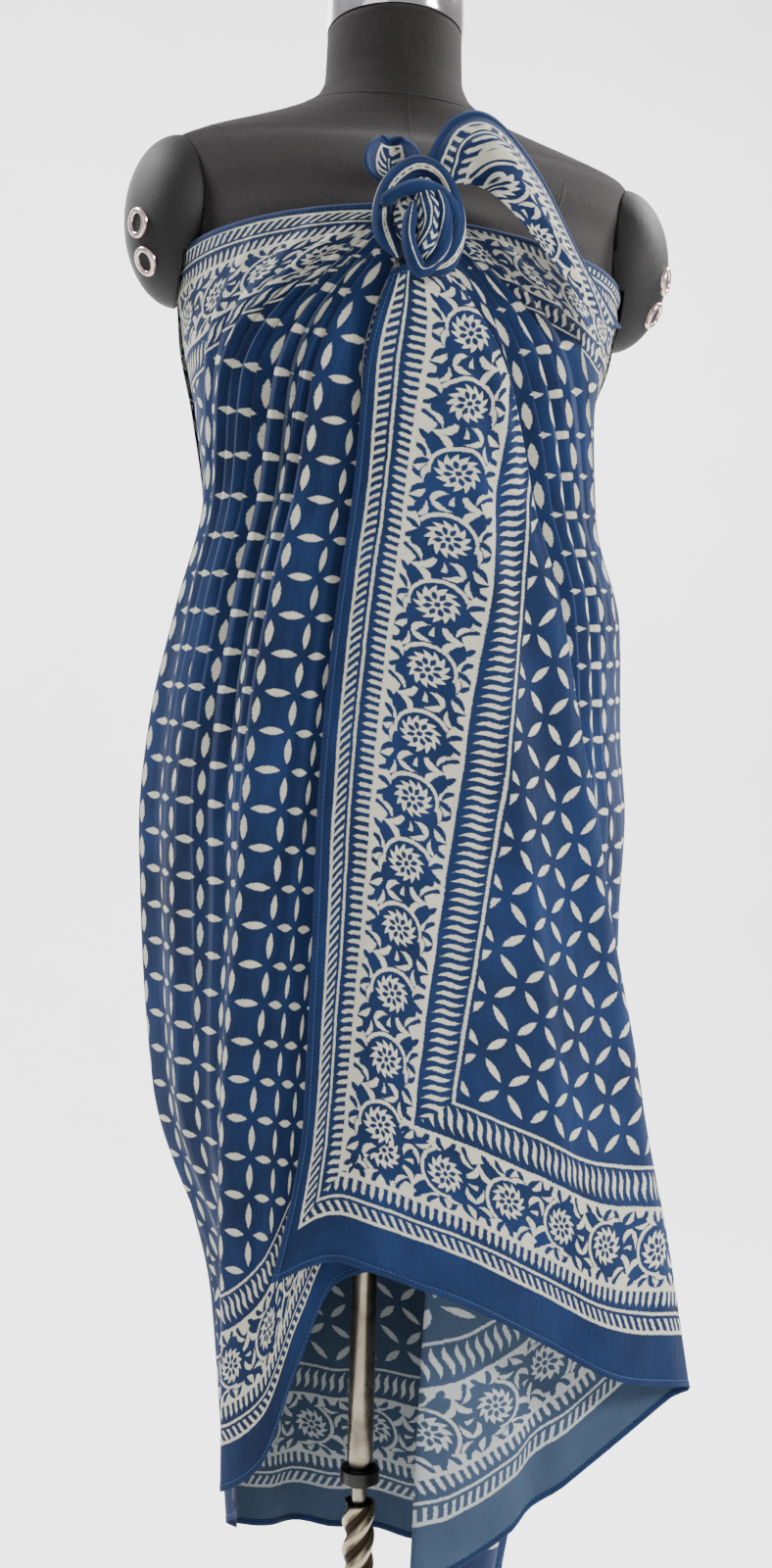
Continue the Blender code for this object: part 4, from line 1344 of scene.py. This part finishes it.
def oriented(grid, number):
    """Keeps the outward side of a turned grid outward."""
    return grid if number in (0, 3) else grid[:, ::-1]


def rolled_piece(name, rows, radius, sheet_at, finish, phase):
    """A twisted roll of cloth along a smooth curve, with the creases of its gathered edge."""
    points = [seen(*row) for row in rows]
    count = ROLL_STEPS * (len(points) - 1)
    path = np.array([through(points, k / ROLL_STEPS) for k in range(count + 1)])
    ahead = unit_rows(np.gradient(path, axis=0))
    beside = unit_rows(np.cross(ahead, np.array((0.15, 1.0, 0.1))))
    above = np.cross(beside, ahead)
    turns = np.linspace(0, 2 * np.pi, ROLL_SIDES + 1)
    share = np.linspace(0, 1, count + 1)[:, None]
    turned = turns[None] + phase + share * ROLL_TWIST + 0.5 * np.sin(share * 7.0 + phase)
    size = np.full_like(turned, ROLL_BODY)
    for waves, tall, slide in ROLL_CREASES:
        ridge = np.abs(np.sin(waves / 2 * turned + slide * share + phase * slide))
        size = size + tall * ridge ** 0.55
    size = size + 0.09 * np.sin(share * 17.0 + phase)
    ends = np.sqrt(np.sin(np.pi * np.clip(share, 0.012, 0.988)))
    size = radius * size * np.clip(ends * 1.9, 0.25, 1)
    grid = (
        path[:, None]
        + beside[:, None] * (size * np.cos(turns))[..., None]
        + above[:, None] * (size * np.sin(turns))[..., None]
    )
    along = np.concatenate([[0], np.cumsum(np.linalg.norm(np.diff(path, axis=0), axis=1))])
    folded = np.abs(((turned * ROLL_WIDE + sheet_at[2]) % (2 * ROLL_WIDE)) - ROLL_WIDE)
    place = np.stack([sheet_at[0] + folded, sheet_at[1] + along[:, None] + 0 * folded], axis=-1)
    return tube_object(name, grid, place, finish)


def weld(made, fill=False):
    """Joins points that lie together, closes holes if asked, and turns the faces outward."""
    shape = bmesh.new()
    shape.from_mesh(made.data)
    bmesh.ops.remove_doubles(shape, verts=shape.verts, dist=1e-6)
    if fill:
        bmesh.ops.holes_fill(shape, edges=shape.edges)
    bmesh.ops.recalc_face_normals(shape, faces=shape.faces)
    shape.to_mesh(made.data)
    shape.free()


def tube_object(name, grid, place, finish):
    """A closed skin through rows of points whose first and last columns meet."""
    count, columns = grid.shape[0] - 1, grid.shape[1]
    faces, places = [], []
    for r in range(count):
        for c in range(columns - 1):
            a = r * columns + c
            faces.append((a, a + 1, a + columns + 1, a + columns))
            places += [place[r, c], place[r, c + 1], place[r + 1, c + 1], place[r + 1, c]]
    made = mesh_object(name, grid.reshape(-1, 3), faces, [finish], places)
    weld(made, fill=True)
    return made


def knot_middle(finish):
    """The bunched cloth that the two ends pass round."""
    rings, sides = 48, 72
    turns = np.linspace(0, 2 * np.pi, sides + 1)
    rises = np.linspace(-np.pi / 2 + 0.05, np.pi / 2 - 0.05, rings + 1)
    t, r = np.meshgrid(turns, rises)
    slant = t * 2.0 + r * 3.2
    size = 0.93 + 0.09 * np.abs(np.sin(slant * 1.5)) ** 0.5 + 0.02 * np.sin(7 * t - 4 * r)
    wide, high, deep = (KNOT_CORE["half"][k] for k in (0, 1, 2))
    right, up, front = KNOT_CORE["at"]
    grid = np.stack([
        right + wide * size * np.cos(r) * np.sin(t),
        -front - deep * size * np.cos(r) * np.cos(t),
        up + high * size * np.sin(r),
    ], axis=-1)
    place = np.stack([0.014 + np.abs(t - np.pi) * 0.013 + r * 0.01, 0.5 + r * 0.03], axis=-1)
    return tube_object("knot_bunch", grid, place, finish)


def tail_grid(rows, side, along_count, across_count, wrinkles):
    """A free end of the cloth between its two edges, cupped, with soft wrinkles along it."""
    first = [seen(*row[:3]) for row in rows]
    second = [seen(*row[3:6]) for row in rows]
    cups = [(k, row[6]) for k, row in enumerate(rows)]
    last = len(rows) - 1
    grid = np.zeros((along_count + 1, across_count + 1, 3))
    for k in range(along_count + 1):
        place = last * k / along_count
        a, b = through(first, place), through(second, place)
        cup = smooth(cups, place) * side
        for c in range(across_count + 1):
            f = c / across_count
            point = a.lerp(b, f)
            grid[k, c] = point + Vector((0, -cup * math.cos((f - 0.5) * math.pi) ** 2, 0))
    normals = surface_normals(grid)
    share, f = np.meshgrid(np.linspace(0, 1, along_count + 1), np.linspace(0, 1, across_count + 1),
                           indexing="ij")
    lift = np.zeros_like(share)
    for middle_start, middle_end, half, start, peak, end, tall in wrinkles:
        middle = middle_start + (middle_end - middle_start) * share
        lift += tall / 1000 * bump((f - middle) / half) * rise_and_fall(share, start, peak, end)
    return grid + normals * lift[..., None] * -side


def ring_faces(rings, sides):
    """The faces between rings of points that follow each other."""
    faces = []
    for r in range(rings - 1):
        for k in range(sides):
            after = (k + 1) % sides
            faces.append((r * sides + k, r * sides + after,
                          (r + 1) * sides + after, (r + 1) * sides + k))
    return faces


def closed_rings(name, grid, finishes):
    """A closed skin through rings of points, with flat ends."""
    rings, sides = grid.shape[:2]
    faces = ring_faces(rings, sides)
    faces.append(tuple(reversed(range(sides))))
    faces.append(tuple(range((rings - 1) * sides, rings * sides)))
    made = mesh_object(name, grid.reshape(-1, 3), faces, finishes)
    made.data.polygons[-1].use_smooth = False
    made.data.polygons[-2].use_smooth = False
    return made


def ridge_faces(a):
    """The two faces from the last three points of a ridge to the three that start at a."""
    return [(a - 3, a, a + 1, a - 2), (a - 2, a + 1, a + 2, a - 1)]


def form_skin():
    """The knit cover over the whole form, and its seams."""
    knit = knit_finish("charcoal_knit")
    heights = np.concatenate([
        np.linspace(0.730, 0.745, 8), np.linspace(0.75, 1.34, 60),
        np.linspace(1.345, 1.48, 70), np.linspace(1.484, 1.5295, 12),
    ])
    turns = np.arange(FORM_SIDES) * 360 / FORM_SIDES
    degrees, levels = np.meshgrid(turns, heights)
    skin = closed_rings("form_skin", on_form(degrees, 0.0, levels), [knit])
    finish_piece(skin, "form", ["form_torso"])

    points, faces = [], []
    for rows in FORM_SEAMS:
        heights = [row[0] for row in rows]
        for level in np.linspace(0, len(rows) - 1, SEAM_STEPS):
            height = np.interp(level, range(len(rows)), heights)
            turn = np.interp(level, range(len(rows)), [row[1] for row in rows])
            left = on_form(turn - SEAM_TURN, 0.0, height)
            right = on_form(turn + SEAM_TURN, 0.0, height)
            middle = on_form(turn, SEAM_RISE, height)
            if level > 0:
                faces += ridge_faces(len(points))
            points += [tuple(left), tuple(middle), tuple(right)]
    turns = np.linspace(0, 360, FORM_SIDES + 1)
    heights = NECK_SEAM + NECK_SEAM_DIP * np.cos(np.radians(turns))
    for turn, height in zip(turns, heights):
        if turn > 0:
            faces += ridge_faces(len(points))
        for rise, out in ((-NECK_SEAM_HALF, 0.0), (0, SEAM_RISE), (NECK_SEAM_HALF, 0.0)):
            points.append(tuple(on_form(turn, out, height + rise)))
    seam = plain_finish("knit_seam", (0.0012, 0.0010, 0.0010), (0.0030, 0.0024, 0.0024), 0.95, 0.0,
                        200, 2e-4)
    seams = mesh_object("form_seams", points, faces, [seam])
    finish_piece(seams, "form")


def arm_caps():
    """The caps over the cut arms, cut back clear of the form and the cloth, and their eyelets."""
    vinyl = vinyl_finish("black_vinyl")
    metal = plain_finish("eyelet_plate", (0.50, 0.36, 0.33), (0.72, 0.58, 0.55), 0.22, 1.0, 60, 2e-4)
    hole_shade = plain_finish("eyelet_shadow", (0.004, 0.004, 0.004), (0.01, 0.01, 0.01), 0.9, 0.0, 50, 1e-4)
    cloth_top = LINES[[row[0] for row in LINES].index("right_side")][4] + CLOTH_ROOM
    turns = np.arange(CAP_CUT_SIDES) * 360 / CAP_CUT_SIDES
    below = [on_wrap(turns, CLOTH_ROOM, np.full(CAP_CUT_SIDES, level))
             for level in np.linspace(CAP_CUT_BOTTOM, cloth_top, 12)]
    above = [on_form(turns, CAP_ROOM, np.full(CAP_CUT_SIDES, level))
             for level in np.linspace(cloth_top, FORM[-1][0], 60)[1:]]
    cutter = closed_rings("arm_cap_cutter", np.array(below + above), [])
    for label, side, right, up in CAP_MIDDLES:
        middle = seen(side * right, up, 0)
        bm = bmesh.new()
        bmesh.ops.create_uvsphere(bm, u_segments=CAP_SIDES[0], v_segments=CAP_SIDES[1], radius=1.0)
        bmesh.ops.scale(bm, vec=Vector(CAP_HALF), verts=bm.verts)
        bmesh.ops.translate(bm, vec=middle, verts=bm.verts)
        mesh = bpy.data.meshes.new(f"cap_{label}")
        bm.to_mesh(mesh)
        bm.free()
        mesh.shade_smooth()
        mesh.materials.append(vinyl)
        cap = new_object(f"cap_{label}", mesh)
        cut = cap.modifiers.new("seat", "BOOLEAN")
        cut.operation = "DIFFERENCE"
        cut.object = cutter
        bpy.context.view_layer.update()
        solid = bpy.data.meshes.new_from_object(cap.evaluated_get(
            bpy.context.evaluated_depsgraph_get()))
        cap.modifiers.clear()
        cap.data = solid
        finish_piece(cap, "form", [f"arm_cap_{label}"])
        for number, tilt in enumerate(EYELET_TILTS, start=1):
            turn, rise = math.radians(EYELET_TURN), math.radians(tilt)
            unit = Vector((side * math.sin(turn) * math.cos(rise),
                           -math.cos(turn) * math.cos(rise), math.sin(rise)))
            outward = Vector([u / h for h, u in zip(CAP_HALF, unit)]).normalized()
            on_cap = middle + Vector([h * u for h, u in zip(CAP_HALF, unit)])
            faced = outward.to_track_quat("Z", "Y").to_matrix().to_4x4()
            name = f"grommet_{label}_{number}"
            ring = turned_piece(name, GROMMET, metal, 48)
            # The dark disc is painted shade in the eyelet's hole
            dark = turned_piece(f"{name}_hole", GROMMET_HOLE_SHADE, hole_shade, 32)
            for made in (ring, dark):
                made.data.transform(Matrix.Translation(on_cap) @ faced)
            finish_piece(ring, "form", [f"eyelet_{label}_{number}"])
            finish_piece(dark, "form")
    bpy.data.objects.remove(cutter)


def turned_piece(name, profile, finish, sides):
    """A skin turned round the Z axis from (radius, height) points."""
    points = []
    for radius, height in profile:
        for k in range(sides):
            turn = 2 * math.pi * k / sides
            points.append((radius * math.cos(turn), radius * math.sin(turn), height))
    made = mesh_object(name, points, ring_faces(len(profile), sides), [finish])
    weld(made)
    made.data.set_sharp_from_angle(angle=math.radians(38))
    return made


def stand():
    """The neck's cap, and the tube, collar, rod, column and base under the form."""
    chrome = plain_finish("neck_plate", (0.42, 0.38, 0.38), (0.78, 0.74, 0.74), 0.12, 1.0, 25, 1e-4)
    tube = plain_finish("tube_plate", (0.13, 0.11, 0.08), (0.33, 0.29, 0.22), 0.30, 1.0, 40, 2e-4)
    dark = plain_finish("collar_black", (0.012, 0.012, 0.012), (0.035, 0.033, 0.03), 0.34, 0.6, 60,
                        2e-4)
    iron = plain_finish("base_black", (0.012, 0.012, 0.012), (0.028, 0.027, 0.026), 0.5, 0.2, 70, 6e-4)
    seat = FORM[0][0] - SEAM_GAP
    top = TUBE_BOTTOM - SEAM_GAP
    for name, body, slot, node, finish, sides, profile in (
        ("neck_cap_plate", "form", "neck_chrome", "neck_cap", chrome, 96,
         ((0, NECK_CAP[0][1]),) + NECK_CAP),
        ("pole_tube_plate", "form", "tube_chrome", "pole_tube", tube, 72, (
            (TUBE_BORE, TUBE_BOTTOM), (TUBE_RADIUS - 0.0004, TUBE_BOTTOM),
            (TUBE_RADIUS, TUBE_BOTTOM + 0.0006), (TUBE_RADIUS, seat - FLANGE_THICK),
            (FLANGE_RADIUS - 0.001, seat - FLANGE_THICK),
            (FLANGE_RADIUS, seat - FLANGE_THICK + 0.001),
            (FLANGE_RADIUS, seat), (TUBE_BORE, seat), (TUBE_BORE, TUBE_BOTTOM),
        )),
        ("pole_collar_ring", "form", "collar_black", "pole_collar", dark, 72, (
            (TUBE_BORE, COLLAR_BOTTOM), (COLLAR_RADIUS - 0.001, COLLAR_BOTTOM),
            (COLLAR_RADIUS, COLLAR_BOTTOM + 0.001), (COLLAR_RADIUS, top - 0.0015),
            (COLLAR_RADIUS - 0.0015, top), (TUBE_BORE, top), (TUBE_BORE, COLLAR_BOTTOM),
        )),
        ("pole_rod_steel", "stand", "rod_steel", "pole_rod", tube, 48, (
            (0, ROD_TOP), (ROD_RADIUS - 0.0008, ROD_TOP), (ROD_RADIUS, ROD_TOP - 0.0008),
            (ROD_RADIUS, COLUMN_TOP + SEAM_GAP), (0, COLUMN_TOP + SEAM_GAP),
        )),
    ):
        finish_piece(turned_piece(name, profile, finish, sides), body, [node])
    levels = np.linspace(COLUMN_BOTTOM, COLUMN_TOP, COLUMN_STEPS)
    turns = np.arange(COLUMN_SIDES) * 2 * np.pi / COLUMN_SIDES
    turns, heights = np.meshgrid(turns, levels)
    lobe = np.cos(COLUMN_LOBES * (turns - 2 * np.pi * heights / COLUMN_LEAD))
    radius = COLUMN_RADIUS + COLUMN_LOBE * lobe
    rings = np.stack([radius * np.cos(turns), radius * np.sin(turns), heights], axis=-1)
    made = closed_rings("column_barley_twist", rings, [column_finish("column_plate")])
    finish_piece(made, "stand", ["column_twisted"])
    made = turned_piece("base_disc", BASE, iron, 128)
    finish_piece(made, "stand", ["base_round"])


def stage_and_light():
    """A pale floor and backdrop, a soft sky, and the lamps."""
    pale = plain_finish("pale_floor", (0.80, 0.80, 0.80), (0.83, 0.83, 0.83), 0.9, 0.0, 3, 1e-4)
    # A view from behind or from below passes through the backdrop and the floor
    tree = pale.node_tree
    far_side = Value(tree, tree.nodes.new("ShaderNodeNewGeometry").outputs["Backfacing"])
    tree.links.new((1.0 - far_side).socket, tree.nodes["Principled BSDF"].inputs["Alpha"])
    profile = [(FLOOR_FRONT, 0.0), (FLOOR_BACK, 0.0)]
    for turn in range(10, 100, 10):
        s, c = math.sin(math.radians(turn)), math.cos(math.radians(turn))
        profile.append((FLOOR_BACK + BACKDROP_ROUND * s, BACKDROP_ROUND * (1 - c)))
    profile.append((FLOOR_BACK + BACKDROP_ROUND, BACKDROP_TOP))
    points, faces = [], []
    for k, (y, z) in enumerate(profile):
        points += [(-FLOOR_HALF, y, z), (FLOOR_HALF, y, z)]
        if k:
            a = 2 * k
            faces.append((a - 2, a - 1, a + 1, a))
    mesh_object("studio_floor", points, faces, [pale])

    world = bpy.data.worlds.new("studio")
    bpy.context.scene.world = world
    world.use_nodes = True
    sky = world.node_tree.nodes["Background"]
    sky.inputs["Color"].default_value = WORLD_COLOUR
    sky.inputs["Strength"].default_value = WORLD_STRENGTH
    for name, at, aim, size, watts, colour in LAMPS:
        lamp = bpy.data.lights.new(name, "AREA")
        lamp.shape = "DISK"
        lamp.size = size
        lamp.energy = watts
        lamp.color = colour
        holder = new_object(name, lamp)
        holder.location = at
        holder.rotation_euler = (Vector(aim) - Vector(at)).to_track_quat("-Z", "Y").to_euler()


def camera():
    """The camera, where the photograph was taken from."""
    lens = bpy.data.cameras.new("photo_view")
    lens.sensor_fit = "VERTICAL"
    lens.sensor_height = SENSOR_HIGH
    lens.lens = SENSOR_HIGH * CAMERA_FOCUS / PHOTO_HIGH
    lens.shift_x = CAMERA_SHIFT[0] / PHOTO_HIGH
    lens.shift_y = CAMERA_SHIFT[1] / PHOTO_HIGH
    turn = math.radians(CAMERA_AZIMUTH)
    at = Vector((math.sin(turn), -math.cos(turn), 0)) * CAMERA_DISTANCE
    at.z = CAMERA_HEIGHT
    holder = new_object("photo_view", lens)
    holder.matrix_world = (
        Matrix.Translation(at) @ Matrix.Rotation(turn, 4, "Z")
        @ Matrix.Rotation(math.radians(90), 4, "X")
        @ Matrix.Rotation(math.radians(CAMERA_ROLL), 4, "Z")
    )
    bpy.context.scene.camera = holder


def knot(right_side, wrong_side, hem):
    """The knot, its rolls, and the two free ends above it with their hems."""
    pieces = [finish_piece(knot_middle(right_side), "form", ["knot_core"])]
    for name, path, radius, across, down, fold, turn, node in KNOT_ROLLS:
        made = rolled_piece(name, path, radius, (across, down, fold), right_side, turn)
        pieces.append(finish_piece(made, "form", [node] if node else []))

    # The print of the right end runs across from its outer edge, and down along its slope
    right = tail_grid(TAIL_RIGHT, 1, 66, 26, TAIL_RIGHT_FOLDS)
    from_tip = right - np.array(seen(*TAIL_RIGHT[-1][:3]))
    slope = math.radians(TAIL_RIGHT_SLOPE)
    down = from_tip[..., 0] * math.sin(slope) - from_tip[..., 2] * math.cos(slope)
    stretch_across, stretch_down = TAIL_RIGHT_STRETCH
    across = np.linalg.norm(right - right[:, :1], axis=-1) * stretch_across + SHEET_EDGE
    right_place = np.stack([across, TAIL_RIGHT_DOWN - stretch_down * down], axis=-1)

    # The print of the left end follows its three edges in towards its middle
    left = tail_grid(TAIL_LEFT, -1, 48, 30, TAIL_LEFT_FOLDS)
    share, f = np.meshgrid(np.linspace(0, 1, 49), np.linspace(0, 1, 31), indexing="ij")
    near = np.minimum(np.minimum(f, 1 - f) * TAIL_LEFT_WIDE, (1 - share) * TAIL_LEFT_LONG)
    left_place = np.stack([near * TAIL_LEFT_STRETCH + SHEET_EDGE,
                           TAIL_LEFT_DOWN + share * 0.05 + f * 0.02], axis=-1)

    for label, grid, place in (("right", right, right_place), ("left", left, left_place)):
        made = grid_object(f"tail_{label}_cloth", grid, place[:, :-1], place[:, 1:],
                           [wrong_side, right_side], CLOTH_THICK)
        pieces.append(finish_piece(made, "form", [f"tail_{label}"]))
    for label, grid, hemmed in (("right", right, (1, 2)), ("left", left, (1, 2, 3))):
        edges = four_edges(grid)
        points, faces = joined([hem_parts(oriented(edges[k], k), TAIL_HEM) for k in hemmed])
        made = mesh_object(f"tail_{label}_hem", points, faces, [hem])
        pieces.append(finish_piece(made, "form"))
    return pieces


def hem_finish():
    """The plain blue cotton of the turned hems."""
    made, tree, shader = new_material("hem_cotton", 0.92, sheen=0.03)
    shader.inputs["Specular IOR Level"].default_value = 0.2
    places = object_place(tree)
    patches = ((noise_value(tree, places, 40.0, 4.0) - 0.3) * 2.2).clamped()
    threads = noise_value(tree, places, 1800.0, 2.0)
    shade = (patches * 0.6 + threads * 0.5).clamped()
    paint(tree, shader, shade, (0.0021, 0.0080, 0.033), (0.0047, 0.0195, 0.071))
    add_bump(tree, shader, patches * 0.6 + threads * 0.3, 0.0006, 0.7)
    return made


def thread_finish():
    made, tree, shader = new_material("hem_thread", 0.7, sheen=0.1)
    places = object_place(tree)
    twist = noise_value(tree, places, 2400.0, 2.0)
    paint(tree, shader, twist, (0.006, 0.022, 0.07), (0.02, 0.065, 0.17))
    add_bump(tree, shader, twist, 0.0003, 0.6)
    return made


def sarong():
    """The sheet with its hems and stitches, and the knot that holds it."""
    right_side = cotton("printed_cotton", **RIGHT_SIDE)
    wrong_side = cotton("printed_cotton_wrong_side", **WRONG_SIDE)
    hem = hem_finish()
    thread = thread_finish()
    cloth = Cloth()
    made = grid_object("sarong_cloth", cloth.points, cloth.left, cloth.right,
                       [right_side, wrong_side], CLOTH_THICK,
                       (cloth.lattice_left, cloth.lattice_right))
    finish_piece(made, "form", [
        "sarong_over_panel", "sarong_inner_fold", "sarong_right_side",
        "sarong_back", "sarong_left_side", "sarong_under_panel",
    ])
    hems, stitches = [], []
    for number, turned in enumerate(four_edges(cloth.points)):
        grid = oriented(turned, number)
        hems.append(hem_parts(grid, HEM_WIDE))
        stitches.append(stitch_parts(grid, HEM_WIDE))
    points, faces = joined(hems)
    strip = finish_piece(mesh_object("sarong_hems", points, faces, [hem]), "form")
    points, faces = joined(stitches)
    sewn = finish_piece(mesh_object("sarong_stitches", points, faces, [thread]), "form")
    pieces = knot(right_side, wrong_side, hem)
    [strip, sewn] + pieces


camera()
sarong()
form_skin()
arm_caps()
stand()
stage_and_light()
